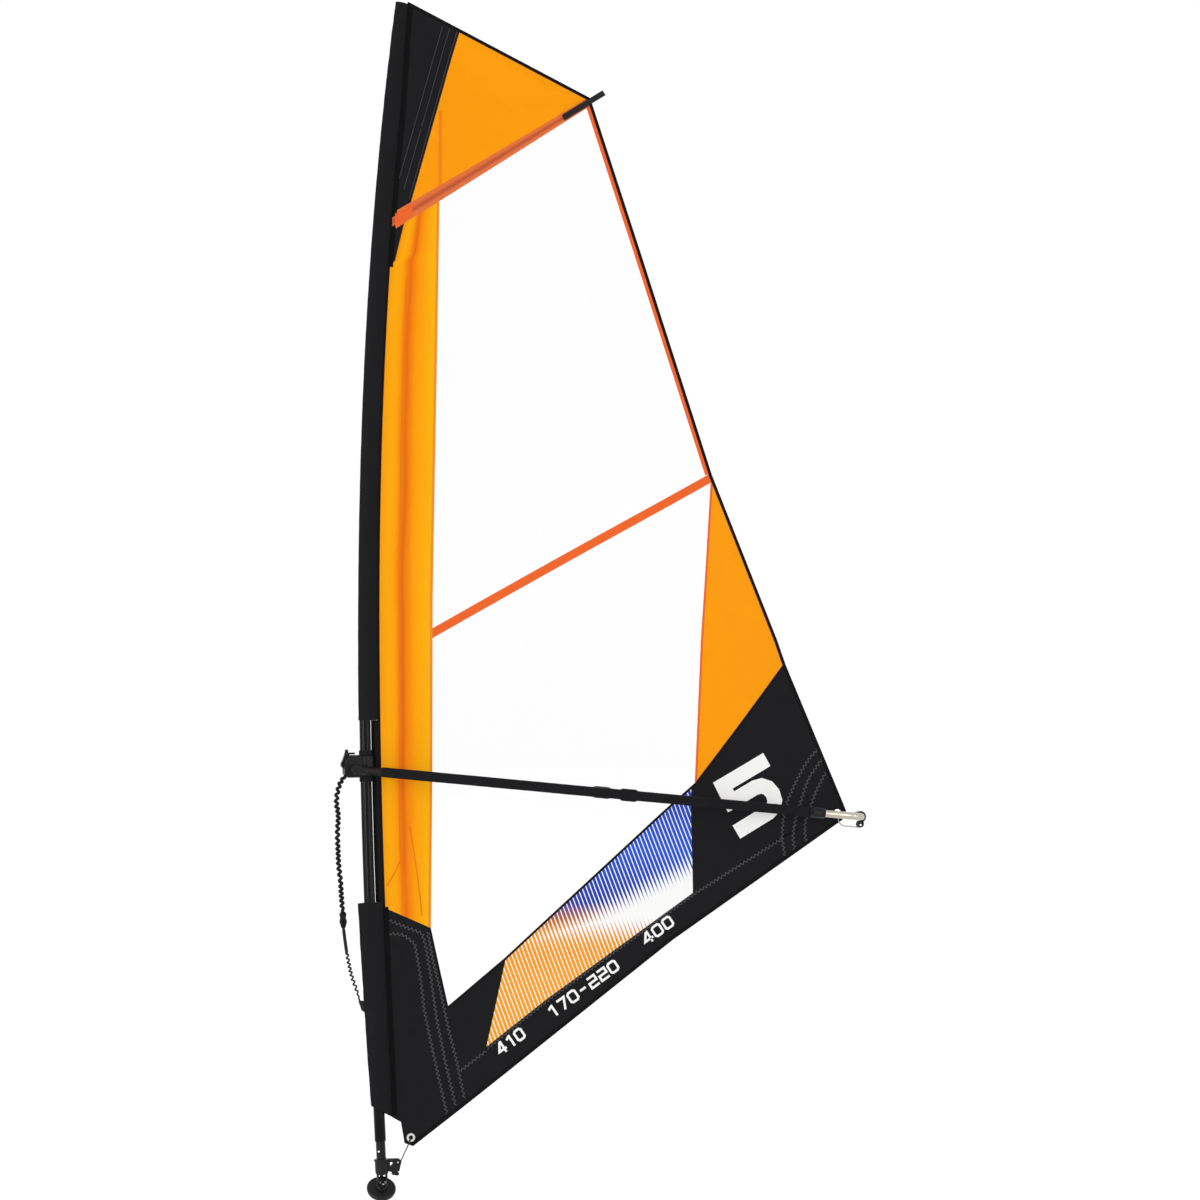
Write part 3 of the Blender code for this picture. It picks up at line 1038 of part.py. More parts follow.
def build_lines(mast_frame, head_frame, boom_frame, outhaul_sheave):
    """Uphaul with its knot, shock cord and hook, then the downhaul and outhaul lines."""
    chin = head_frame.matrix_world @ Vector((-HEAD_FRONT + CHIN / 2, 0, -HEAD_HEIGHT / 2 + CHIN / 2))
    away = (head_frame.matrix_world.to_3x3() @ Vector((-1, 0, -1))).normalized()
    route = [tuple(chin + away * step) for step in (TOUCH, 0.007, 0.014)] + [(x, 0, z) for x, z in UPHAUL_ROUTE]
    line_tube("uphaul_rope", smooth_route(route, 4, True), UPHAUL_RADIUS, "rope")
    line_tube("uphaul_bungee", smooth_route([(x, 0, z) for x, z in BUNGEE_ROUTE], 3, True), BUNGEE_RADIUS, "rope")
    top, low = (Vector((x, 0, z)) for x, z in (UPHAUL_ROUTE[-1], BUNGEE_ROUTE[0]))
    along = (low - top).normalized()
    length = (low - top).length - 4 * TOUCH
    turn = Vector((0, 0, 1)).rotation_difference(along).to_matrix()
    rings = []
    for share, width in ((0, 0.55), (0.15, 0.85), (0.4, 1), (0.6, 0.95), (0.85, 0.7), (1, 0.4)):
        centre = top + along * (2 * TOUCH + share * length)
        rings.append([turn @ p + centre for p in circle(KNOT_RADIUS * width, 0, 12)])
    loft("uphaul_knot", rings, "rope")

    # The hook's top is square to the shock cord that ends on it.
    before, end = (Vector((x, 0, z)) for x, z in BUNGEE_ROUTE[-2:])
    along = (end - before).normalized()
    across = Vector((-along.z, 0, along.x))
    top = end + along * TOUCH * 2
    corner = top + across * BUNGEE_RADIUS
    foot_z = end.z - HOOK_SIZE[2]
    foot = sleeve_place(foot_z, -sleeve_front(foot_z) - TOUCH, 0)
    inner = sleeve_place(corner.z, -sleeve_front(corner.z) - TOUCH, 0)
    outer = top - across * BUNGEE_RADIUS
    shape = [(inner.x, inner.z), (foot.x, foot.z), (foot.x - HOOK_SIZE[0], foot.z + 0.006), (outer.x, outer.z)]
    if corner.x < inner.x:
        shape.append((corner.x, corner.z))
    prism("uphaul_hook", shape, -HOOK_SIZE[1] / 2, HOOK_SIZE[1] / 2, "black_plastic")

    # Each line leaves its eyelet over the ring's edge and ends round the far side of its sheave.
    side = -(CLOTH / 2 + 0.0018 + TOUCH + LINE_RADIUS)
    eye = Vector((TACK_EYELET[0], 0, TACK_EYELET[1]))
    route = [eye + Vector(p) for p in ((0, 0.005, 0), (0, 0.001, 0), (-0.0005, side * 0.8, -0.001),
                                       (-0.002, side - 0.002, -0.006), (-0.008, side - 0.001, -0.020))]
    route += wrap(mast_frame, DOWNHAUL_SHEAVE, DOWNHAUL_SHEAVE_RADIUS, -20, -85)
    line_tube("downhaul_line", smooth_route(route, 3, True), LINE_RADIUS, "rope")

    eye = Vector((CLEW_EYELET[0], 0, CLEW_EYELET[1]))
    route = [eye + Vector(p) for p in ((0, 0.005, 0), (0, 0.001, 0), (0.0005, side * 0.8, -0.001),
                                       (0.001, side - 0.002, -0.006), (0.004, side - 0.002, -0.028),
                                       (0.018, side, -0.044), (0.050, side * 0.5, -0.048))]
    route += wrap(boom_frame, outhaul_sheave, OUTHAUL_SHEAVE_RADIUS, -95, 20)
    line_tube("outhaul_line", smooth_route(route, 3, True), LINE_RADIUS, "rope")


def wrap(frame, centre, radius, start, end):
    """Points of a line lying in a sheave's groove, from start to end in degrees."""
    points = arc(centre, radius + LINE_RADIUS / 2, start, end, 5)
    return [frame.matrix_world @ Vector((x, 0, z)) for x, z in points]


def finish_solids():
    """Applies the cuts, drops the shapes that made them, and marks the sharp edges that they left."""
    view = bpy.context.evaluated_depsgraph_get()
    cut = [item for item in bpy.data.objects if item.modifiers]
    done = [(item, bpy.data.meshes.new_from_object(item.evaluated_get(view))) for item in cut]
    for item, mesh in done:
        item.modifiers.clear()
        item.data = mesh
        mesh.name = item.name
        mesh.shade_smooth()
        mesh.set_sharp_from_angle(angle=math.radians(SHARP))
    for item in [item for item in bpy.data.objects if item.hide_render]:
        bpy.data.objects.remove(item, do_unlink=True)


def build():
    """Clears the scene and makes every piece."""
    for item in list(bpy.data.objects):
        bpy.data.objects.remove(item, do_unlink=True)
    build_mast()
    build_sleeve()
    seams = sail_seams()
    build_sail(seams)
    build_batten(seams)
    mast_frame = frame_empty("mast_foot_frame", Matrix.Rotation(math.atan(MAST_LEAN), 4, "Y"))
    tipped = mast_frame.matrix_world @ Matrix.Rotation(FOOT_TILT, 4, "X")
    base_frame = frame_empty("base_frame", tipped)
    centre, aft = mast_axes(BOOM_Z)
    lean = math.atan2(-aft.z, aft.x)
    head_frame = frame_empty("boom_head_frame", Matrix.Translation(centre) @ Matrix.Rotation(lean, 4, "Y"))
    boom_frame = frame_empty("boom_frame", boom_matrix(head_frame.matrix_world))
    bpy.context.view_layer.update()
    build_boom_head(head_frame)
    build_boom_arms(boom_frame)
    sheave = build_boom_tail(boom_frame)
    build_extension(mast_frame)
    build_foot(mast_frame, base_frame)
    build_lines(mast_frame, head_frame, boom_frame, sheave)
    finish_solids()


build()
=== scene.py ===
"""Looks of a windsurf rig: sail, two-piece mast, wishbone boom, uphaul and mast foot.

Metres, +Z up. +X runs aft from the mast to the clew, and -Y is the port side, which faces the camera.
The origin is the centre of the mast foot's universal joint.
"""

import json
import logging
import math
from dataclasses import dataclass, field
from enum import Enum
from typing import Any, Sequence

import bmesh
import bpy
import numpy as np
from mathutils import Matrix, Vector

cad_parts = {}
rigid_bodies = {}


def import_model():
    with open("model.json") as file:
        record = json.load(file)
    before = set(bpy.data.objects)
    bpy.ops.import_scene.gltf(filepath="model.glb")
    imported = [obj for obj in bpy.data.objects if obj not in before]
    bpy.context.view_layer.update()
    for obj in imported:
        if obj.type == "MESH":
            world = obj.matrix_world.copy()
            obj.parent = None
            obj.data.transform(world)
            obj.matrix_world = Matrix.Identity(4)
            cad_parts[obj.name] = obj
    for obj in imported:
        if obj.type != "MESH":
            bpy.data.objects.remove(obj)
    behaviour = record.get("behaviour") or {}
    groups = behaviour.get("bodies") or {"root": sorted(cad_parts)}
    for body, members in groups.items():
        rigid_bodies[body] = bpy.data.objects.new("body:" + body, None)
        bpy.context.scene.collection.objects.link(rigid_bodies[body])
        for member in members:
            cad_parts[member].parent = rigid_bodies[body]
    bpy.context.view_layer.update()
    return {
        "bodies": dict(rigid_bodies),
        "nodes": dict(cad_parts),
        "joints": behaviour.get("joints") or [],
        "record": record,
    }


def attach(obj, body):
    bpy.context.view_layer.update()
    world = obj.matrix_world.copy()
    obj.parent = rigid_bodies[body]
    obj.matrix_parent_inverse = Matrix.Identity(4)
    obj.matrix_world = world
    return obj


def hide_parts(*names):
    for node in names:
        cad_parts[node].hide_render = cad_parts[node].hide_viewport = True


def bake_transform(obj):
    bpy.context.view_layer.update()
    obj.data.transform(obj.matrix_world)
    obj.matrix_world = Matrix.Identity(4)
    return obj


LOG = logging.getLogger("rig")
PATCHES = 14.0  # scale of the soft patches in a finish, which are about 70 mm wide
FOLD_SHADE_DRIFT = 1.6  # scale of the slow drift in the bands of painted fold light and shade, about 0.6 m long
Point = tuple[float, float]
Line = Sequence[Point]
Value = float | np.ndarray


class Slot(Enum):
    """The record's material slots, which the new pieces are passed with."""

    CARBON = "carbon"
    BLACK_CLOTH = "black_cloth"
    ORANGE_CLOTH = "orange_cloth"
    RED_TAPE = "red_tape"
    CLEAR_FILM = "clear_film"
    PRINT_CLOTH = "print_cloth"
    FOAM = "foam"
    ALLOY = "alloy"
    STEEL = "steel"
    ROPE = "rope"


# Colour and shader helpers


def linear(code: str) -> tuple[float, float, float, float]:
    """Turns an sRGB hex code into linear colour.

    Args:
        code: Six hex digits after a hash.

    Returns:
        Red, green, blue and alpha.
    """
    parts = np.array([int(code[i : i + 2], 16) / 255 for i in (1, 3, 5)])
    shares = np.where(parts <= 0.04045, parts / 12.92, ((parts + 0.055) / 1.055) ** 2.4)
    return (*shares.tolist(), 1.0)


def add(
    tree: bpy.types.NodeTree,
    kind: str,
    settings: dict[str, Any] | None = None,
    sockets: dict[str | int, Any] | None = None,
) -> bpy.types.Node:
    """Adds a shader node with its settings and links.

    Args:
        tree: The material's or world's node tree.
        kind: Blender's name for the node type.
        settings: The node's own properties. "stops" gives a colour ramp's places and hex codes.
        sockets: A value, or an output socket to link, for each input.

    Returns:
        The new node.
    """
    node = tree.nodes.new(kind)
    for name, value in (settings or {}).items():
        if name == "stops":
            ramp = node.color_ramp.elements
            for place, _ in value[2:]:
                ramp.new(place)
            for element, (place, code) in zip(ramp, value):
                element.position = place
                element.color = linear(code)
        else:
            setattr(node, name, value)
    for name, value in (sockets or {}).items():
        if isinstance(value, bpy.types.NodeSocket):
            tree.links.new(value, node.inputs[name])
        else:
            node.inputs[name].default_value = value
    return node


@dataclass(frozen=True)
class Finish:
    """A finish with a plain colour, faint mottling and fine grain in the surface."""

    name: str
    colour: str
    roughness: float
    metallic: float = 0.0
    grain_mm: float = 3.0
    bump: float = 0.10
    mottle: float = 0.10
    coat: float = 0.0
    specular: float = 0.5
    stretch: tuple[float, float, float] = (1.0, 1.0, 1.0)

    def grain(self, tree: bpy.types.NodeTree, place: bpy.types.NodeSocket) -> bpy.types.NodeSocket:
        """Height of the surface's fine pattern, here plain noise at the grain's size.

        Args:
            tree: The material's node tree.
            place: The place on the object.

        Returns:
            The height.
        """
        scaled = add(tree, "ShaderNodeMapping", None, {"Vector": place, "Scale": self.stretch})
        return add(tree, "ShaderNodeTexNoise", None, {
            "Vector": scaled.outputs[0], "Scale": 1000 / self.grain_mm, "Detail": 3.0}).outputs["Fac"]

    def shade(self, tree: bpy.types.NodeTree, place: bpy.types.NodeSocket) -> bpy.types.NodeSocket:
        """Colour over the surface: the plain colour, a little lighter and darker in soft patches.

        Args:
            tree: The material's node tree.
            place: The place on the object.

        Returns:
            The colour.
        """
        patches = add(tree, "ShaderNodeTexNoise", None, {"Vector": place, "Scale": PATCHES, "Detail": 4.0})
        change = add(tree, "ShaderNodeMapRange", None, {
            "Value": patches.outputs["Fac"], "To Min": 1 - self.mottle, "To Max": 1 + self.mottle})
        return add(tree, "ShaderNodeVectorMath", {"operation": "SCALE"}, {
            0: linear(self.colour)[:3], "Scale": change.outputs[0]}).outputs[0]

    def build(self) -> bpy.types.Material:
        """Makes the material, or finds the one already made.

        Returns:
            The material with its nodes.
        """
        found = bpy.data.materials.get(self.name)
        if found:
            return found
        made = bpy.data.materials.new(self.name)
        made.use_nodes = True
        tree = made.node_tree
        shader = tree.nodes["Principled BSDF"]
        place = add(tree, "ShaderNodeTexCoord").outputs["Object"]
        for socket, value in (("Roughness", self.roughness), ("Metallic", self.metallic),
                              ("Coat Weight", self.coat), ("Coat Roughness", 0.05),
                              ("Specular IOR Level", self.specular)):
            shader.inputs[socket].default_value = value
        tree.links.new(self.shade(tree, place), shader.inputs["Base Color"])
        bump = add(tree, "ShaderNodeBump", None, {
            "Strength": self.bump, "Distance": 0.0005, "Height": self.grain(tree, place)})
        tree.links.new(bump.outputs[0], shader.inputs["Normal"])
        return made


@dataclass(frozen=True)
class Weave(Finish):
    """Sailcloth: thin polyester with a fine crossing thread grid."""

    thread_mm: float = 5.0

    def grain(self, tree: bpy.types.NodeTree, place: bpy.types.NodeSocket) -> bpy.types.NodeSocket:
        """The raised threads of a ripstop grid: two crossing waves, the higher of them at each place.

        Blender's wave repeats every pi / 10 units, so a scale of 100 pi / mm repeats it at that many mm.

        Args:
            tree: The material's node tree.
            place: The place on the object.

        Returns:
            The height.
        """
        waves = []
        for axis in ("X", "Z"):
            waves.append(add(tree, "ShaderNodeTexWave", {"bands_direction": axis}, {
                "Vector": place, "Scale": 100 * math.pi / self.thread_mm,
                "Distortion": 0.2, "Detail": 1.0}).outputs["Fac"])
        return add(tree, "ShaderNodeMath", {"operation": "MAXIMUM"}, {0: waves[0], 1: waves[1]}).outputs[0]


@dataclass(frozen=True)
class FoldShadedWeave(Weave):
    """Sailcloth in long soft folds along its seam, with the folds' light and shade painted into its colour as
    bands of paler and deeper orange.
    """

    drift: float = 0.05
    # Painted shade in the deeper bands and painted light in the paler ones, where the cloth folds
    bands: tuple[tuple[float, str], ...] = (
        (0.0, "#F08A00"), (0.06, "#FFA200"), (0.20, "#FFAC00"), (0.32, "#FE9E00"), (0.41, "#F57C02"),
        (0.47, "#EC6C04"), (0.54, "#FA8800"), (0.64, "#FF9A00"), (0.80, "#FFAC00"), (0.94, "#FFB600"))

    def shade(self, tree: bpy.types.NodeTree, place: bpy.types.NodeSocket) -> bpy.types.NodeSocket:
        """Painted fold light and shade: bands along the panel, by the share of its width from the luff, that
        noise moves a little to and fro.

        Args:
            tree: The material's node tree.
            place: The place on the object.

        Returns:
            The colour.
        """
        share = add(tree, "ShaderNodeUVMap", {"uv_map": "shares"})
        parts = add(tree, "ShaderNodeSeparateXYZ", None, {0: share.outputs[0]})
        noise = add(tree, "ShaderNodeTexNoise", None, {"Vector": place, "Scale": FOLD_SHADE_DRIFT, "Detail": 2.0})
        moved = add(tree, "ShaderNodeMapRange", None, {
            "Value": noise.outputs["Fac"], "From Min": 0.25, "From Max": 0.75, "To Min": -self.drift,
            "To Max": self.drift})
        spot = add(tree, "ShaderNodeMath", {"operation": "ADD"}, {0: moved.outputs[0], 1: parts.outputs[0]})
        return add(tree, "ShaderNodeValToRGB", {"stops": self.bands}, {0: spot.outputs[0]}).outputs[0]


@dataclass(frozen=True)
class StripePrint(Weave):
    """Printed sailcloth: narrow slanting stripes on white that pass from blue to orange.

    Real stripes of this kind are finer, and these are as coarse as the picture can show.
    """

    stripe_mm: float = 15.0
    lean: float = 20.0
    ground: str = "#FFFFFE"

    def shade(self, tree: bpy.types.NodeTree, place: bpy.types.NodeSocket) -> bpy.types.NodeSocket:
        """Two fields of stripes that thin out where they meet, and to white at the lower aft corner.

        A sawtooth across the stripes is compared with a limit, and the limit rises where they thin out: for the
        orange field by the height, and for the blue field by the distance over a slanting line. The larger field
        counts. The ink's colour goes by the height.

        Args:
            tree: The material's node tree.
            place: The place on the object.

        Returns:
            The colour.
        """
        lean = math.radians(self.lean)
        across = add(tree, "ShaderNodeVectorMath", {"operation": "DOT_PRODUCT"}, {
            0: place, 1: (math.cos(lean), 0, math.sin(lean))})
        count = add(tree, "ShaderNodeMath", {"operation": "MULTIPLY"}, {
            0: across.outputs["Value"], 1: 1000 / self.stripe_mm})
        teeth = add(tree, "ShaderNodeMath", {"operation": "PINGPONG"}, {0: count.outputs[0], 1: 0.5})
        rise = add(tree, "ShaderNodeVectorMath", {"operation": "DOT_PRODUCT"}, {0: place, 1: (-0.436, 0, 0.9)})
        height = add(tree, "ShaderNodeSeparateXYZ", None, {0: place}).outputs["Z"]
        blue = add(tree, "ShaderNodeMapRange", {"interpolation_type": "SMOOTHSTEP"}, {
            "Value": rise.outputs["Value"], "From Min": 0.42, "From Max": 0.55})
        orange = add(tree, "ShaderNodeMapRange", {"interpolation_type": "SMOOTHSTEP"}, {
            "Value": height, "From Min": 0.95, "From Max": 0.80})
        full = add(tree, "ShaderNodeMath", {"operation": "MAXIMUM"}, {0: blue.outputs[0], 1: orange.outputs[0]})
        limit = add(tree, "ShaderNodeMapRange", None, {"Value": full.outputs[0], "To Min": 0.56, "To Max": 0.11})
        over = add(tree, "ShaderNodeMath", {"operation": "SUBTRACT"}, {0: teeth.outputs[0], 1: limit.outputs[0]})
        ink = add(tree, "ShaderNodeMapRange", {"interpolation_type": "SMOOTHSTEP"}, {
            "Value": over.outputs[0], "From Min": -0.05, "From Max": 0.07})
        fade = add(tree, "ShaderNodeValToRGB", {"stops": [
            (0.0, "#F5A41C"), (0.25, "#FAA414"), (0.42, "#F19A16"), (0.47, "#AE5E40"), (0.52, "#2438A8"),
            (0.72, "#1E58DC"), (1.0, self.colour)]}, {0: add(tree, "ShaderNodeMapRange", None, {
                "Value": height, "From Min": 0.45, "From Max": 1.45}).outputs[0]})
        return add(tree, "ShaderNodeMix", {"data_type": "RGBA"}, {
            "Factor": ink.outputs[0], 6: linear(self.ground), 7: fade.outputs[0]}).outputs[2]


@dataclass(frozen=True)
class Braid(Finish):
    """Braided cover of a rope: strands that cross in a herringbone round it."""

    strands: float = 8.0
    pitch_mm: float = 12.0
    # The strands' painted light; the gaps keep the darker colour as painted shade
    painted_strand_light: str = "#3C3C3E"

    def strand(self, tree: bpy.types.NodeTree) -> bpy.types.NodeSocket:
        """Two sets of slanting waves on the rope's own map, round it and along it in metres.

        Args:
            tree: The material's node tree.

        Returns:
            How far the strands stand up, from -1 to 1.
        """
        parts = add(tree, "ShaderNodeSeparateXYZ", None, {
            0: add(tree, "ShaderNodeUVMap", {"uv_map": "shares"}).outputs[0]})
        waves = []
        for sign in (1, -1):
            around = add(tree, "ShaderNodeMath", {"operation": "MULTIPLY"}, {
                0: parts.outputs[0], 1: sign * 6.2832 * self.strands})
            lean = add(tree, "ShaderNodeMath", {"operation": "MULTIPLY_ADD"}, {
                0: parts.outputs[1], 1: 6283.2 / self.pitch_mm, 2: around.outputs[0]})
            waves.append(add(tree, "ShaderNodeMath", {"operation": "SINE"}, {0: lean.outputs[0]}).outputs[0])
        return add(tree, "ShaderNodeMath", {"operation": "MAXIMUM"}, {0: waves[0], 1: waves[1]}).outputs[0]

    def grain(self, tree: bpy.types.NodeTree, place: bpy.types.NodeSocket) -> bpy.types.NodeSocket:
        """The strands stand up from the cover."""
        return self.strand(tree)

    def shade(self, tree: bpy.types.NodeTree, place: bpy.types.NodeSocket) -> bpy.types.NodeSocket:
        """Painted light on the strands and painted shade in the darker gaps between them."""
        factor = add(tree, "ShaderNodeMapRange", None, {
            "Value": self.strand(tree), "From Min": -0.2, "From Max": 1.0})
        return add(tree, "ShaderNodeMix", {"data_type": "RGBA"}, {
            "Factor": factor.outputs[0], 6: linear(self.colour), 7: linear(self.painted_strand_light)}).outputs[2]


@dataclass(frozen=True)
class Film(Finish):
    """Clear polyester film: almost nothing of its own but a hard gloss and a cool tint."""

    cover: float = 0.05

    def build(self) -> bpy.types.Material:
        """Makes the film, which lets most of the light straight through.

        Returns:
            The material.
        """
        made = super().build()
        made.node_tree.nodes["Principled BSDF"].inputs["Alpha"].default_value = self.cover
        return made


# Carbon tube under clear lacquer: near black, with a long hard highlight
CARBON = Finish("lacquered_carbon_tube", "#080809", 0.13, grain_mm=4.0, bump=0.02, specular=0.12)
# Black polyester cloth: matt, a little lighter on its threads
BLACK_CLOTH = Weave("black_polyester_cloth", "#1B1B1D", 0.78, bump=0.25, mottle=0.12, specular=0.08)
# Thicker black webbing on the free edges
BLACK_EDGE = Weave("black_edge_webbing", "#161617", 0.85, bump=0.30, thread_mm=3.0, specular=0.06)
# The sleeve's seam tape, wider and darker than the cloth: partly the real tape, partly painted shade of the
# sleeve's fold along the luff seam
SEAM_SHADE_TAPE = Weave("black_seam_tape_painted_shade", "#111112", 0.85, bump=0.20, thread_mm=3.0, specular=0.05)
# Orange polyester cloth, satin from its resin finish
ORANGE_CLOTH = Weave("orange_polyester_cloth", "#FF9E00", 0.55, bump=0.12, mottle=0.03, specular=0.10)
# The same cloth along the luff, with painted light and shade of its folds in bands of paler and deeper orange
FOLD_SHADED_CLOTH = FoldShadedWeave("orange_cloth_painted_fold_shade", "#FF9200", 0.55, bump=0.12, mottle=0.03, specular=0.10)
# One layer of the same cloth, sewn over a seam: its edge looks deeper
SEAM_CLOTH = Weave("orange_seam_cloth", "#F0922A", 0.55, bump=0.12, mottle=0.03, specular=0.10)
# Deeper orange strips along the luff panel's creases: painted crease shade
CREASE_SHADE_CLOTH = Weave("orange_painted_crease_shade", "#EE7E0E", 0.60, bump=0.12, mottle=0.03, specular=0.08)
# Orange-red insignia tape over the seams
RED_TAPE = Weave("orange_red_seam_tape", "#F2682A", 0.55, bump=0.12, mottle=0.04, specular=0.10)
# White polyester cloth with printed ink, a little smoother than the plain cloth
PRINT_CLOTH = StripePrint("striped_print_cloth", "#3040B8", 0.50, bump=0.10, specular=0.15)
# Clear polyester film, nearly not there but for its gloss, and wavy over a hand's width
CLEAR_FILM = Film("clear_polyester_film", "#F6F8F8", 0.08, grain_mm=60.0, bump=0.10, mottle=0.0)
# Glass-filled nylon, moulded with a fine spark texture
BLACK_NYLON = Finish("moulded_black_nylon", "#151516", 0.45, grain_mm=1.2, bump=0.12, specular=0.20)
# EVA foam, skived: quite matt, with open cells
EVA_FOAM = Finish("black_eva_foam", "#1A1A1C", 0.92, grain_mm=3.5, bump=0.55, mottle=0.18, specular=0.12)
# Moulded rubber: matt and even
RUBBER = Finish("black_moulded_rubber", "#131314", 0.75, grain_mm=2.0, bump=0.20, specular=0.15)
# Black anodised aluminium: the dye leaves a dark metal with a satin highlight along the tube
BLACK_ALLOY = Finish("black_anodised_tube", "#1D1C1A", 0.30, 0.6, grain_mm=2.0, bump=0.04, mottle=0.05,
                     specular=0.3, stretch=(1.0, 1.0, 0.08))
# Anodised aluminium tube, drawn: satin, with fine lines along it
ALLOY = Finish("anodised_aluminium_tube", "#BDB7A8", 0.30, 1.0, grain_mm=2.0, bump=0.05, mottle=0.05,
               stretch=(0.08, 1.0, 1.0))
# Pressed stainless steel, polished
STEEL = Finish("polished_stainless_steel", "#D3D3CE", 0.20, 1.0, grain_mm=2.0, bump=0.03, mottle=0.03)
# Polyester braid over a rubber core: matt black, with painted light on its strands and painted shade in the gaps
UPHAUL_COVER = Braid("black_braided_cover", "#0E0E0F", 0.80, bump=0.60, specular=0.1, painted_strand_light="#2A2A2C")
SHOCK_CORD = Braid("black_shock_cord", "#101011", 0.70, bump=0.50, strands=6.0, pitch_mm=8.0, painted_strand_light="#303032",
                   specular=0.1)
# Thin low-stretch lines: a tight braid with a slight sheen, pale at the clew and dark at the tack
OUTHAUL_COVER = Braid("pale_braided_line", "#8E9092", 0.60, bump=0.40, strands=4.0, pitch_mm=5.0,
                      painted_strand_light="#C4C5C6", specular=0.2)
DOWNHAUL_COVER = Braid("dark_braided_line", "#1E1E20", 0.60, bump=0.40, strands=4.0, pitch_mm=5.0,
                       painted_strand_light="#3A3A3C", specular=0.2)
# White printed ink, through which the cloth's threads still show
WHITE_INK = Weave("white_printed_ink", "#FCFCFA", 0.55, bump=0.10, mottle=0.02, specular=0.2)
# Polyester thread: the rows are faint, because it is black and only shines a little
STITCH = Finish("grey_sewing_thread", "#4A4A4D", 0.60, grain_mm=2.0, bump=0.30, specular=0.3)
# The dense orange thread of the head's seam, a tone deeper than its cloth
SEAM_THREAD = Finish("orange_seam_thread", "#F78412", 0.60, grain_mm=2.0, bump=0.30, specular=0.1)


# Lines and grids of points


def run_along(points: np.ndarray) -> np.ndarray:
    """The distance along a line at each of its points."""
    return np.r_[0, np.cumsum(np.linalg.norm(np.diff(points, axis=0), axis=1))]


def unit(away: np.ndarray) -> np.ndarray:
    """Directions of the same headings that are all one long."""
    return away / np.linalg.norm(away, axis=1, keepdims=True)


def left_of(away: np.ndarray) -> np.ndarray:
    """Directions a quarter turn to the left of (aft, up) directions."""
    return np.column_stack([-away[:, 1], away[:, 0]])


def circle(sides: int) -> np.ndarray:
    """Even angles once round a ring."""
    return np.linspace(0, 2 * np.pi, sides, endpoint=False)


def at_marks(marks: np.ndarray, run: np.ndarray, points: np.ndarray) -> np.ndarray:
    """Places on a line, straight between its points, where run says how far along it each point is."""
    return np.column_stack([np.interp(marks, run, points[:, k]) for k in range(points.shape[1])])


def cut_stretches(gaps: np.ndarray, step: float) -> np.ndarray:
    """Cuts each stretch between a line's corners into even steps.

    Args:
        gaps: Each stretch's length.
        step: The longest step.

    Returns:
        The places, counted in corners from the line's start.
    """
    counts = np.maximum(np.ceil(gaps / step), 1).astype(int).tolist()
    return np.concatenate([i + np.arange(n) / n for i, n in enumerate(counts)] + [[len(gaps)]])


def ruled(first: np.ndarray, second: np.ndarray, columns: int) -> np.ndarray:
    """A grid of points between two lines, straight across from each point to its partner."""
    share = np.linspace(0, 1, columns)[None, :, None]
    return first[:, None] * (1 - share) + second[:, None] * share


def cubic(t: np.ndarray, start: Value, end: Value, span: Value, first: Value, last: Value) -> np.ndarray:
    """The cubic through two values that has a given slope at each.

    Args:
        t: Shares of the way over the span.
        start: The value at its start.
        end: The value at its end.
        span: Its length.
        first: The slope at its start.
        last: The slope at its end.

    Returns:
        The values.
    """
    return ((2 * t**3 - 3 * t**2 + 1) * start + (t**3 - 2 * t**2 + t) * span * first
            + (3 * t**2 - 2 * t**3) * end + (t**3 - t**2) * span * last)


# Surfaces


def grid_mesh(
    name: str,
    points: np.ndarray,
    finish: Finish,
    across: bool = False,
    along: bool = False,
    shares: np.ndarray | None = None,
) -> bpy.types.Object:
    """Makes a mesh from a grid of points.

    Args:
        name: The piece's name.
        points: Rows of points, as (rows, columns, 3).
        finish: The piece's finish.
        across: The last column joins the first.
        along: The last row joins the first.
        shares: Map places of the corners of every face, as (rows, columns + across, 2), where given.

    Returns:
        The piece, with faces that point outwards where it is closed and to port where it is a sheet.
    """
    rows, columns = points.shape[:2]
    low, left = np.meshgrid(np.arange(rows - (not along)), np.arange(columns - (not across)), indexing="ij")
    low, left = low.ravel(), left.ravel()
    high, right = low + 1, left + 1
    corners = np.stack([(low % rows) * columns + left % columns, (low % rows) * columns + right % columns,
                        (high % rows) * columns + right % columns, (high % rows) * columns + left % columns], 1)
    mesh = bpy.data.meshes.new(name)
    mesh.from_pydata(points.reshape(-1, 3).tolist(), [], corners.tolist())
    if shares is not None:
        places = np.stack([shares[low, left], shares[low, right], shares[high, right], shares[high, left]], 1)
        mesh.uv_layers.new(name="shares").data.foreach_set("uv", places.astype(np.float32).ravel())
    bm = bmesh.new()
    bm.from_mesh(mesh)
    bmesh.ops.remove_doubles(bm, verts=bm.verts, dist=1e-6)
    bmesh.ops.dissolve_degenerate(bm, edges=bm.edges, dist=1e-7)
    bmesh.ops.recalc_face_normals(bm, faces=bm.faces)
    bm.to_mesh(mesh)
    bm.free()
    mesh.shade_smooth()
    mesh.set_sharp_from_angle(angle=math.radians(40))
    mesh.materials.append(finish.build())
    item = bpy.data.objects.new(name, mesh)
    bpy.context.scene.collection.objects.link(item)
    return item


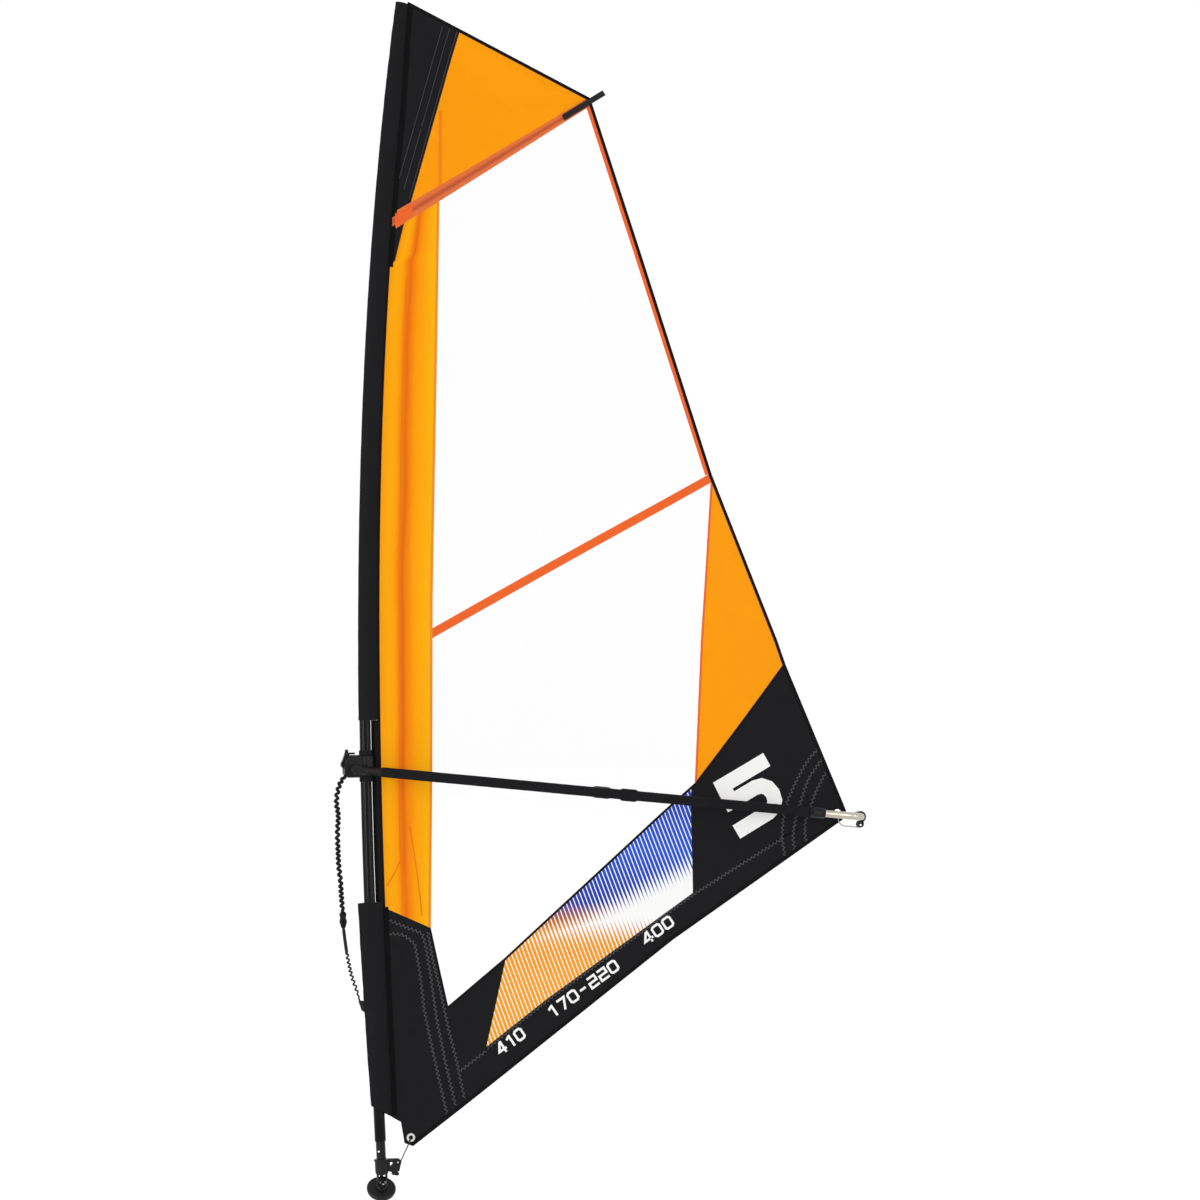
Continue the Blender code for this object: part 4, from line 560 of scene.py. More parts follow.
def shell(name: str, middle: np.ndarray, thick: Value, finish: Finish) -> bpy.types.Object:
    """Makes a closed sheet from its middle surface.

    Each row becomes a ring, over the port face and back over the starboard one, and the first and last rings
    close on the middle surface.

    Args:
        name: The sheet's name.
        middle: Rows of points, as (rows, columns, 3).
        thick: The sheet's thickness, or one for each of its points.
        finish: Its finish.

    Returns:
        The sheet.
    """
    half = np.zeros_like(middle)
    half[..., 1] = np.asarray(thick) / 2
    ring = np.concatenate([middle - half, (middle + half)[:, ::-1]], 1)
    ends = [np.concatenate([row, row[:, ::-1]], 1) for row in (middle[:1], middle[-1:])]
    v, u = (np.linspace(0, 1, count) for count in middle.shape[:2])
    across = np.concatenate([u, u[::-1], u[:1]])
    up = np.concatenate([v[:1], v, v[-1:]])
    shares = np.stack(np.broadcast_arrays(across[None, :], up[:, None]), 2)
    return grid_mesh(name, np.concatenate([ends[0], ring, ends[1]]), finish, across=True, shares=shares)


def hollow(name: str, outer: np.ndarray, inner: np.ndarray, finish: Finish) -> bpy.types.Object:
    """Makes a tube with a wall from its outer and inner rings, as (rows, columns, 3) each."""
    return grid_mesh(name, np.concatenate([outer, inner[::-1]]), finish, across=True, along=True)


def swept(name: str, path: np.ndarray, radii: Value, finish: Finish,
          sides: int = 16) -> bpy.types.Object:
    """Carries a round section along a path and closes both ends.

    The section's two directions are carried from point to point with the least turn.

    Args:
        name: The piece's name.
        path: Points of the centreline, as (count, 3).
        radii: The radius, or one for each point.
        finish: Its finish.
        sides: Points round the section.

    Returns:
        The tube. Its map runs once round it, and along it in metres.
    """
    radii = np.broadcast_to(np.asarray(radii, float), len(path))
    along = unit(np.gradient(path, axis=0))
    side = np.cross(along[0], (0.0, 1.0, 0.0) if abs(along[0][1]) < 0.9 else (1.0, 0.0, 0.0))
    sideways = []
    for direction in along:
        side = side - direction * side.dot(direction)
        side = side / np.linalg.norm(side)
        sideways.append(side)
    first = np.array(sideways)
    second = np.cross(along, first)
    angle = circle(sides)[None, :, None]
    round_it = first[:, None] * np.cos(angle) + second[:, None] * np.sin(angle)
    rings = path[:, None] + radii[:, None, None] * round_it
    tips = [np.repeat(path[i][None, None], sides, 1) for i in (0, -1)]
    run = run_along(path)
    run = np.r_[run[:1], run, run[-1:]]
    shares = np.stack(np.broadcast_arrays(np.linspace(0, 1, sides + 1)[None, :], run[:, None]), 2)
    return grid_mesh(name, np.concatenate([tips[0], rings, tips[1]]), finish, across=True, shares=shares)


def smooth_route(points: Sequence[Sequence[float]], steps: int, by_length: bool = False) -> np.ndarray:
    """A smooth curve through points: each stretch is a cubic between the slopes at its ends.

    Args:
        points: The places that the curve passes through.
        steps: Points in each stretch.
        by_length: At a point the slope is the mean of the stretches beside it. This lets the shorter one
            count for more, so that a long stretch doesn't throw a short one over.

    Returns:
        The curve, as (count, 3).
    """
    knots = np.array(points, float)
    knots = np.vstack([2 * knots[0] - knots[1], knots, 2 * knots[-1] - knots[-2]])
    gaps = np.linalg.norm(np.diff(knots, axis=0), axis=1, keepdims=True)
    if not by_length:
        gaps = np.ones_like(gaps)
    steep = np.diff(knots, axis=0) / gaps
    slopes = (steep[:-1] * gaps[1:] + steep[1:] * gaps[:-1]) / (gaps[:-1] + gaps[1:])
    b, c, gap, m, n = (part[:, None] for part in (knots[1:-2], knots[2:-1], gaps[1:-1], slopes[:-1], slopes[1:]))
    curve = cubic((np.arange(steps) / steps)[None, :, None], b, c, gap, m, n)
    return np.vstack([curve.reshape(-1, knots.shape[1]), knots[-2]])


def crimped(path: np.ndarray, reach: np.ndarray, pitch: float) -> np.ndarray:
    """A level path bent into a flattened helix, as a crimped rope is.

    Each point moves square to the path by reach, and by 0.7 of it towards the viewer, a quarter turn later. The
    turns crowd and spread a little along the path, because the real crimps are uneven.

    Args:
        path: Points of the path, which lies in the sail's plane.
        reach: How far each point moves.
        pitch: Length of one turn.

    Returns:
        The bent path.
    """
    along, run = unit(np.gradient(path, axis=0)), run_along(path)
    turn = 2 * np.pi * run / pitch + 1.1 * np.sin(run / 0.023)
    square = np.stack([along[:, 2], np.zeros(len(path)), -along[:, 0]], 1)
    side = np.array([[0.0, 0.7, 0.0]])
    return path + reach[:, None] * (square * np.cos(turn)[:, None] + side * np.sin(turn)[:, None])


def zigzag(line: Line, pitch: float, reach: float) -> list[Point]:
    """A line's points at even steps of half a pitch, moved to its left and right in turn.

    Args:
        line: The line.
        pitch: Length of a zig and a zag.
        reach: How far each point moves.

    Returns:
        The zigzag's points.
    """
    points = spaced(np.array(line, float), pitch / 2)
    turn = np.where(np.arange(len(points)) % 2, reach, -reach)[:, None]
    return [tuple(p) for p in points + left_of(unit(np.gradient(points, axis=0))) * turn]


def spaced(line: np.ndarray, step: float) -> np.ndarray:
    """Points at even steps along a line, its ends included.

    Args:
        line: The line's points.
        step: The longest step.

    Returns:
        The points.
    """
    run = run_along(line)
    return at_marks(np.linspace(0, run[-1], max(int(math.ceil(run[-1] / step)) + 1, 2)), run, line)


def along_line(line: Line, marks: np.ndarray) -> np.ndarray:
    """Points of a line at shares of its length.

    Args:
        line: The line.
        marks: Shares of its length, from 0 to 1.

    Returns:
        The points.
    """
    points = np.array(line, float)
    run = run_along(points)
    return at_marks(marks, run / max(run[-1], 1e-9), points)


def offset_line(line: Line, distance: float) -> list[Point]:
    """A line of points moved to its left by a distance, mitred at its corners.

    Args:
        line: The line.
        distance: How far it moves.

    Returns:
        The moved line.
    """
    points = np.array(line, float)
    left = left_of(unit(np.diff(points, axis=0)))
    before, after = np.vstack([left[:1], left]), np.vstack([left, left[-1:]])
    share = distance / (1 + (before * after).sum(1, keepdims=True))
    return [tuple(p) for p in points + (before + after) * share]


def meet(a: Point, b: Point, c: Point, d: Point) -> Point:
    """The point where the line through a and b crosses the line through c and d.

    Args:
        a: A point of the first line.
        b: Another point of it.
        c: A point of the second line.
        d: Another point of it.

    Returns:
        The crossing.
    """
    start, first, second = np.array(a), np.subtract(b, a), np.subtract(d, c)
    share = np.cross(np.subtract(c, a), second) / np.cross(first, second)
    return tuple(start + first * share)


def on_line(a: Point, b: Point, x: float) -> Point:
    """The point of the line through a and b at x."""
    return (x, a[1] + (b[1] - a[1]) * (x - a[0]) / (b[0] - a[0]))


def part_way(a: Point, b: Point, share: float) -> Point:
    """The point at a share of the way from a to b."""
    return tuple(np.array(a) + np.subtract(b, a) * share)


# Mast and luff sleeve


@dataclass(frozen=True)
class MastLine:
    """The mast's axis: straight and leaning forward at the foot, then bent aft by the downhaul."""

    lean: float = -0.052
    straight_top: float = 0.552
    head_x: float = 0.052
    head_z: float = 4.248
    head_slope: float = 0.126
    foot_z: float = 0.140
    joint_z: float = 2.26
    tip_z: float = 4.200
    radius: float = 0.020
    tip_radius: float = 0.012
    parallel_top: float = 1.75
    wall: float = 0.0025

    def x(self, z: np.ndarray) -> np.ndarray:
        """How far aft the axis is at heights: a line, then one cubic from it to the head.

        Args:
            z: Heights.

        Returns:
            Distances aft.
        """
        span = self.head_z - self.straight_top
        t = np.maximum(z - self.straight_top, 0) / span
        bent = cubic(t, self.lean * self.straight_top, self.head_x, span, self.lean, self.head_slope)
        return np.where(z <= self.straight_top, self.lean * z, bent)

    def axes(self, z: np.ndarray) -> tuple[np.ndarray, np.ndarray]:
        """Points of the axis at heights, and the direction straight aft of it at each.

        Args:
            z: Heights.

        Returns:
            The points and the directions.
        """
        z = np.asarray(z, float)
        slope = (self.x(z + 0.001) - self.x(z - 0.001)) / 0.002
        size = np.sqrt(1 + slope**2)
        zero = np.zeros_like(z)
        return np.stack([self.x(z), zero, z], -1), np.stack([1 / size, zero, -slope / size], -1)

    def outer(self, z: np.ndarray) -> np.ndarray:
        """The mast's outer radius at heights."""
        return np.interp(z, (self.parallel_top, self.tip_z), (self.radius, self.tip_radius))

    def rings(self, z: np.ndarray, radii: np.ndarray, sides: int = 48) -> np.ndarray:
        """Rings square to the mast, as (heights, sides, 3).

        Args:
            z: Heights.
            radii: The radius at each height.
            sides: Points round each ring.

        Returns:
            The rings.
        """
        centre, aft = self.axes(z)
        angle = circle(sides)[None, :, None]
        across = np.array([0.0, 1.0, 0.0])
        return centre[:, None] + radii[:, None, None] * (aft[:, None] * np.cos(angle) + across * np.sin(angle))

    def build(self) -> None:
        """Makes the two carbon sections round and smooth."""
        for name, low, high in (("mast_bottom_section", self.foot_z, self.joint_z - 0.0003),
                                ("mast_top_section", self.joint_z, self.tip_z)):
            z = np.linspace(low, high, 90)
            outer, bore = self.rings(z, self.outer(z)), self.rings(z, self.outer(z) - self.wall)
            place(hollow(f"tube_{name}", outer, bore, CARBON), "rig", Slot.CARBON, name)


def place(item: bpy.types.Object, body: str, slot: Slot, *nodes: str) -> bpy.types.Object:
    """Puts a piece on its body, hides the nodes that it stands for, and reports it.

    Args:
        item: The piece.
        body: The body that it rides on.
        slot: The record's slot that it is finished from. Not used.
        nodes: Nodes that it replaces.

    Returns:
        The piece.
    """
    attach(item, body)
    if nodes:
        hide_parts(*nodes)
    LOG.info("%s on %s, %d faces", item.name, body, len(item.data.polygons))
    return item


@dataclass(frozen=True)
class LuffSleeve:
    """The sleeve over the mast, in two lengths with the boom's cut-out between them."""

    mast: MastLine
    cutout_bottom: float = 0.987
    cutout_top: float = 1.639
    foot_z: float = 0.250
    slant_top: float = 0.43425
    slant: float = 0.6
    aft: float = 0.048
    head_aft: float = 0.030
    taper_z: float = 3.85
    ease: float = 0.0008
    wall: float = 0.001
    front_ease: float = 0.0024
    lower_front: tuple[float, float] = (0.028, 0.042)
    half_front: float = 0.025
    flap_front: float = 0.0255
    flap_side: float = 0.0175
    flap_width: float = 0.030
    flap_grid: tuple[int, int] = (60, 9)
    step: float = 0.009

    def reach(self, z: np.ndarray) -> np.ndarray:
        """How far the luff seam lies behind the mast's axis at heights."""
        return np.interp(z, (self.taper_z, self.mast.head_z), (self.aft, self.head_aft))

    def point(self, z: np.ndarray, back: np.ndarray, side: np.ndarray) -> np.ndarray:
        """Points beside the mast. Near the foot they drop with their distance aft, for the slanting cut.

        Args:
            z: Heights on the mast's axis.
            back: Distances aft of it.
            side: Distances to starboard of it.

        Returns:
            The points.
        """
        centre, aft = self.mast.axes(z)
        spot = centre + aft * back[..., None]
        spot[..., 1] += side
        share = np.clip((self.slant_top - z) / (self.slant_top - self.foot_z), 0, 1)
        spot[..., 2] -= self.slant * back * share
        return spot

    def luff(self) -> tuple[np.ndarray, np.ndarray]:
        """Heights and distances aft of the luff seam.

        Returns:
            Heights of points on the seam, and how far aft each is.
        """
        z = np.linspace(self.foot_z, self.mast.head_z - 0.006, 400)
        line = self.point(z, self.reach(z), np.zeros_like(z))
        return line[:, 2], line[:, 0]

    def rings(self, z: np.ndarray, inside: bool, sides: int = 56) -> np.ndarray:
        """Drop-shaped sections: round over the mast, drawn to an edge behind it, with small puckers outwards.

        Args:
            z: Heights.
            inside: True for the wall's inner face.
            sides: Points round each section.

        Returns:
            The sections, as (heights, sides, 3).
        """
        wall = self.wall if inside else 0.0
        lower = z < self.cutout_bottom + 1e-6
        front = np.where(lower, np.interp(z, (self.foot_z, self.cutout_bottom), self.lower_front),
                         self.mast.outer(z) + self.front_ease) - wall
        half = self.mast.outer(z) + self.ease + self.wall - wall
        aft = self.reach(z) * 0.86 if inside else self.reach(z) - 0.0003
        angle = circle(sides)
        c, s = np.cos(angle)[None, :], np.sin(angle)[None, :]
        pucker = 0.0 if inside else self.puckers(z, angle)
        back = np.where(c > 0, aft[:, None] * c, front[:, None] * c) + np.where(c < 0, pucker * c, 0)
        bow = np.where(c > 0, np.sign(s) * np.abs(s) ** 1.4, s)
        side = (half[:, None] + pucker) * bow
        return self.point(np.broadcast_to(z[:, None], back.shape), back, side)

    def puckers(self, z: np.ndarray, angle: np.ndarray) -> np.ndarray:
        """Height of the sleeve's soft puckers: slanting waves of three lengths, never inwards.

        Args:
            z: Heights.
            angle: Angles round the sleeve.

        Returns:
            How far the cloth stands out, as (heights, angles).
        """
        zz, aa = z[:, None], angle[None, :]
        wave = (np.sin(zz / 0.031 + 2.1 * np.sin(aa)) + np.sin(zz / 0.0173 - 1.7 * np.cos(aa) + 1.0)
                + np.sin(zz / 0.0097 + 3.0 * aa))
        strength = np.interp(z, (0.25, 0.987, 1.639, 1.75, 3.7, 4.15),
                             (0.0006, 0.0008, 0.0008, 0.0003, 0.0003, 0.0010))
        return strength[:, None] * (wave + 3) / 3

    def build(self) -> None:
        """Makes both lengths of the sleeve and the flap between them."""
        for name, low, high in (("luff_sleeve_lower", self.foot_z, self.cutout_bottom),
                                ("luff_sleeve_upper", self.cutout_top, self.mast.head_z - 0.006)):
            z = np.linspace(low, high, int((high - low) / self.step))
            if low == self.cutout_top:
                z = z + 1e-5  # the upper length starts just past the cut-out's edge
            sleeve = place(hollow(f"cloth_{name}", self.rings(z, False), self.rings(z, True), BLACK_CLOTH),
                           "rig", Slot.BLACK_CLOTH, name)
        z = np.linspace(self.cutout_bottom + 0.0003, self.cutout_top - 0.0003, self.flap_grid[0])
        share = np.linspace(0, 1, self.flap_grid[1])
        back = np.broadcast_to(self.aft - 0.0003 + (self.flap_front - self.aft) * share, self.flap_grid)
        side = self.flap_side * share**1.5 + 0.0006 * np.sin(z / 0.03)[:, None] * share
        middle = self.point(np.broadcast_to(z[:, None], back.shape), back, side)
        flap = shell("cloth_cutout_flap", middle, self.wall, BLACK_CLOTH)
        place(flap, "rig", Slot.BLACK_CLOTH, "cutout_flap")


# Sail


@dataclass(frozen=True)
class SailPlan:
    """The sail's outline and seams, as (aft, up) places."""

    head_aft: Point = (0.084, 4.247)
    leech_head: Point = (0.766, 3.934)
    leech_upper: Point = (0.957, 3.374)
    leech_middle: Point = (1.234, 2.549)
    leech_lower: Point = (1.487, 1.938)
    clew_shoulder: Point = (1.521, 1.844)
    clew_top: Point = (1.750, 1.318)
    clew: Point = (1.759, 1.295)
    clew_bottom: Point = (1.741, 1.265)
    foot_clew: Point = (1.560, 1.146)
    foot_aft: Point = (1.080, 0.832)
    foot_middle: Point = (0.879, 0.683)
    foot_band_tack: Point = (0.430, 0.350)
    foot_tack: Point = (0.289, 0.246)
    tack_aft: Point = (0.111, 0.117)
    tack: Point = (0.080, 0.129)
    tack_front: Point = (0.067, 0.204)
    tack_luff_z: float = 0.2225
    head_black_x: float = 0.273
    pocket_top_z: float = 3.471
    pocket_low_z: float = 3.403
    pocket_leech_top: Point = (0.758, 3.934)
    pocket_leech_low: Point = (0.754, 3.896)
    black_seam_x: float = 0.095
    corner_seam_x: float = 0.069
    corner_low: Point = (0.036, 3.299)
    corner_luff_z: float = 3.277
    luff_panel_top_x: float = 0.197
    luff_seam: tuple[Point, ...] = ((0.190, 3.024), (0.175, 2.073), (0.175, 1.453), (0.171, 0.895))
    luff_panel_foot_z: float = 0.971
    strip_luff: Point = (0.175, 1.969)
    strip_leech: Point = (1.230, 2.556)
    strip_width: float = 0.036
    leech_seam: tuple[Point, ...] = ((1.196, 1.936), (1.177, 1.405))
    window_point: Point = (0.238, 0.605)
    print_top: Point = (0.457, 0.776)
    print_clew_top: Point = (1.160, 1.390)
    print_clew_low: Point = (1.158, 1.003)
    print_middle: Point = (0.601, 0.625)
    print_tack: Point = (0.380, 0.462)
    band_clew: Point = (1.504, 1.205)
    piping_width: float = 0.011
    cloth: float = 0.001
    tack_eyelet: Point = (0.103, 0.148)
    clew_eyelet: Point = (1.722, 1.290)


@dataclass
class Sail:
    """The sail's shape in the air, its panels, its seams and what is sewn or printed on it."""

    sleeve: LuffSleeve
    plan: SailPlan = field(default_factory=SailPlan)
    belly: float = 0.025
    fold_depth: float = 0.004
    folds: int = 2
    flat_leech: float = 0.10
    flat_foot: tuple[float, float] = (0.30, 0.75)
    fold_low: float = 1.0
    fold_high: float = 3.25
    strip_step: float = 0.02
    strip_columns: float = 0.012

    def __post_init__(self) -> None:
        """Works out the luff, the leech and the seams that several panels share."""
        plan = self.plan
        self.luff_z, self.luff_x = self.sleeve.luff()
        self.leech_line = np.array([plan.tack_aft, plan.foot_tack, plan.foot_middle, plan.foot_aft, plan.clew,
                                    plan.clew_shoulder, plan.leech_lower, plan.leech_middle, plan.leech_upper,
                                    plan.leech_head, plan.head_aft])
        self.leech = [plan.leech_head, plan.leech_upper, plan.leech_middle, plan.leech_lower,
                      plan.clew_shoulder]
        edge = offset_line([plan.head_aft] + self.leech, -plan.piping_width)
        luff_head = self.luff_edge(4.10, 4.22)[-2:]
        self.leech_in = edge[1:]
        self.head = [meet(plan.head_aft, plan.leech_head, *luff_head), plan.leech_head]
        self.head_in = [meet(*edge[:2], *luff_head), edge[1]]
        top = (self.luff_at(plan.pocket_top_z), plan.pocket_leech_top)
        low = (self.luff_at(plan.pocket_low_z), plan.pocket_leech_low)
        self.pocket = (top, low)
        self.pocket_end = (meet(*top, *self.head_in), meet(*low, *edge[1:3]))
        self.strip_low = (plan.strip_luff[0], plan.strip_luff[1] - plan.strip_width)
        strip_leech_low = (plan.strip_leech[0], plan.strip_leech[1] - plan.strip_width)
        self.strip_leech = meet(plan.strip_luff, plan.strip_leech, *edge[2:4])
        self.strip_edge = edge[3]
        self.strip_leech_low = meet(self.strip_low, strip_leech_low, *edge[3:5])
        self.black_low = on_line(*top, plan.black_seam_x)
        self.black_top = on_line(*self.head_in, plan.head_black_x)
        self.corner_top = on_line(*low, plan.corner_seam_x)
        self.luff_top = on_line(*low, plan.luff_panel_top_x)

    def luff_at(self, z: float) -> Point:
        """The luff seam's place at a height."""
        return (float(np.interp(z, self.luff_z, self.luff_x)), z)

    def luff_edge(self, low: float, high: float, count: int = 40) -> list[Point]:
        """The luff seam from low to high."""
        return [self.luff_at(z) for z in np.linspace(low, high, count).tolist()]

    def depth(self, x: np.ndarray, z: np.ndarray) -> np.ndarray:
        """The sail's curve to starboard.

        A belly that is flat at luff, leech and foot, two long folds beside the luff, and fine creases that
        fan out from the tack and run down from the head.

        Args:
            x: Distances aft.
            z: Heights.

        Returns:
            Distances to starboard.
        """
        luff = np.interp(z, self.luff_z, self.luff_x)
        leech = np.interp(z, self.leech_line[:, 1], self.leech_line[:, 0])
        chord = np.maximum(leech - luff, 1e-6)
        share = np.clip((x - luff) / chord / (1 - self.flat_leech), 0, 1)
        rise = np.clip((z - self.flat_foot[0]) / (self.flat_foot[1] - self.flat_foot[0]), 0, 1)
        depth = rise * self.belly * chord * 16 * share**2 * (1 - share) ** 2
        across = np.clip((x - luff) / np.maximum(self.plan.luff_seam[1][0] - luff, 1e-6), 0, 1)
        fade = np.sin(np.pi * np.clip((z - self.fold_low) / (self.fold_high - self.fold_low), 0, 1))
        depth += (self.fold_depth * fade * np.sin(np.pi * across) * np.sin(2 * np.pi * self.folds * across))
        return depth + self.creases(x, z, across, share)

    def creases(self, x: np.ndarray, z: np.ndarray, across: np.ndarray, share: np.ndarray) -> np.ndarray:
        """Fine creases, up to 2 mm: long ones in the luff panel and a slow ripple in the windows.

        Args:
            x: Distances aft.
            z: Heights.
            across: Shares of the way across the luff panel.
            share: Shares of the way from luff to leech.

        Returns:
            Distances to starboard.
        """
        beside = np.clip(across, 0, 1) * np.clip(1 - across, 0, 1) * 4
        long = 0.0009 * beside * np.sin(2 * np.pi * (across * 5.0 + 0.15 * np.sin(z * 3.1)))
        inner = np.clip(share * (1 - share) * 4, 0, 1)
        ripple = 0.0012 * inner * np.sin(x * 9.0 + z * 3.0 + 0.8 * np.sin(z * 2.2))
        (x0, z0), (x1, z1) = self.pocket[1]
        batten = z0 + (z1 - z0) * (x - x0) / (x1 - x0)
        beside_batten = np.clip((np.abs(z - batten - 0.02) - 0.05) / 0.1, 0, 1)
        return (long + ripple) * np.clip((z - 0.55) / 0.3, 0, 1) * beside_batten

    def lift(self, flat: np.ndarray, proud: float = 0.0) -> np.ndarray:
        """Puts (aft, up) places on the sail. proud moves them to port."""
        x, z = flat[..., 0], flat[..., 1]
        return np.stack([x, self.depth(x, z) - proud, z], -1)

    def panel(self, node: str, first: Line, second: Line, finish: Finish, slot: Slot, step: float = 0.02,
              thick: float = 0.001) -> None:
        """Makes one panel as a surface ruled between two edges.

        Args:
            node: The node that it replaces.
            first: One edge.
            second: The edge across from it. With as many points as the first, they are joined in pairs, and
                otherwise at equal shares of their lengths.
            finish: The panel's finish.
            slot: The record's slot.
            step: Distance between the grid's points.
            thick: The panel's thickness.
        """
        a, b = np.array(first, float), np.array(second, float)
        if len(a) == len(b):
            gaps = np.maximum(*(np.linalg.norm(np.diff(p, axis=0), axis=1) for p in (a, b)))
            marks = cut_stretches(gaps, step)
            one, two = (at_marks(marks, np.arange(len(p)), p) for p in (a, b))
        else:
            runs = [run_along(p) for p in (a, b)]
            corners = [run / run[-1] for run in runs]
            even = np.linspace(0, 1, int(math.ceil(max(run[-1] for run in runs) / step)) + 1)
            marks = np.unique(np.round(np.concatenate([even, *corners]), 7))
            one, two = along_line(first, marks), along_line(second, marks)
        width = np.linalg.norm(two - one, axis=1).max()
        flat = ruled(one, two, int(math.ceil(width / step)) + 1)
        sheet = place(shell(f"cloth_{node}", self.lift(flat), thick, finish), "rig", slot, node)

    def strip(self, name: str, lines: Sequence[Line], width: float, finish: Finish, slot: Slot,
              thick: float = 0.0022, shift: float = 0.0, proud: float = 0.0) -> None:
        """Makes strips of tape or thread that show on both faces of the sail, or of ink on its port face.

        Args:
            name: The piece's name.
            lines: Lines that the strips follow.
            width: Their width.
            finish: Their finish.
            slot: The record's slot.
            thick: Their thickness, the cloth's included.
            shift: How far to the left of its line each strip lies.
            proud: How far to port of the cloth's middle they lie.
        """
        parts = []
        for line in lines:
            sides = [np.array(offset_line(line, shift + half)) for half in (width / 2, -width / 2)]
            gaps = np.linalg.norm(np.diff(np.array(line, float), axis=0), axis=1)
            marks = cut_stretches(gaps, self.strip_step)
            flat = ruled(*(at_marks(marks, np.arange(len(p)), p) for p in sides),
                         max(int(width / self.strip_columns) + 1, 2))
            parts.append(shell(f"{name}_part", self.lift(flat, proud), thick, finish))
        place(joined(name, parts), "rig", slot)


def joined(name: str, parts: list[bpy.types.Object]) -> bpy.types.Object:
    """Joins pieces of one finish into one mesh under a new name.

    Args:
        name: The new name.
        parts: The pieces.

    Returns:
        The one piece.
    """
    whole = parts[0]
    if len(parts) > 1:
        bm = bmesh.new()
        for part in parts:
            bm.from_mesh(part.data)
        bm.to_mesh(whole.data)
        bm.free()
        for part in parts[1:]:
            bpy.data.objects.remove(part, do_unlink=True)
    whole.name = whole.data.name = name
    return whole


@dataclass(frozen=True)
class PocketWeave(Weave):
    """Thin orange-red cloth of the batten pocket, darker where the batten lies behind it."""

    dark: str = "#BC4A16"

    def shade(self, tree: bpy.types.NodeTree, place: bpy.types.NodeSocket) -> bpy.types.NodeSocket:
        """The cloth's colour, with a dark line along the middle of the pocket."""
        parts = add(tree, "ShaderNodeSeparateXYZ", None, {
            0: add(tree, "ShaderNodeUVMap", {"uv_map": "shares"}).outputs[0]})
        return add(tree, "ShaderNodeValToRGB", {"stops": [
            (0.0, self.colour), (0.24, self.colour), (0.44, self.dark), (0.54, self.dark), (0.74, self.colour),
            (1.0, self.colour)]}, {0: parts.outputs[0]}).outputs[0]


# Thin cloth, satin, which the dark batten behind it shades along its middle
POCKET_CLOTH = PocketWeave("orange_red_pocket_cloth", "#E26A24", 0.55, bump=0.12)
# Strokes of plain block digits, in a box half as wide as it is high
DIGITS: dict[str, tuple[Line, ...]] = {
    "0": (((0.26, 0.92), (0.10, 0.92), (0.0, 0.80), (0.0, 0.20), (0.10, 0.08), (0.42, 0.08), (0.52, 0.20),
           (0.52, 0.80), (0.42, 0.92), (0.26, 0.92)),),
    "1": (((0.36, 0.0), (0.36, 1.0)), ((0.08, 0.74), (0.36, 0.92))),
    "2": (((0.0, 0.92), (0.52, 0.92), (0.52, 0.50), (0.0, 0.50), (0.0, 0.08), (0.56, 0.08)),),
    "4": (((0.42, 0.0), (0.42, 1.0)), ((0.36, 0.94), (0.02, 0.30), (0.60, 0.30))),
    "7": (((0.0, 0.92), (0.52, 0.92), (0.20, 0.0)),),
    "-": (((0.04, 0.50), (0.46, 0.50)),),
}


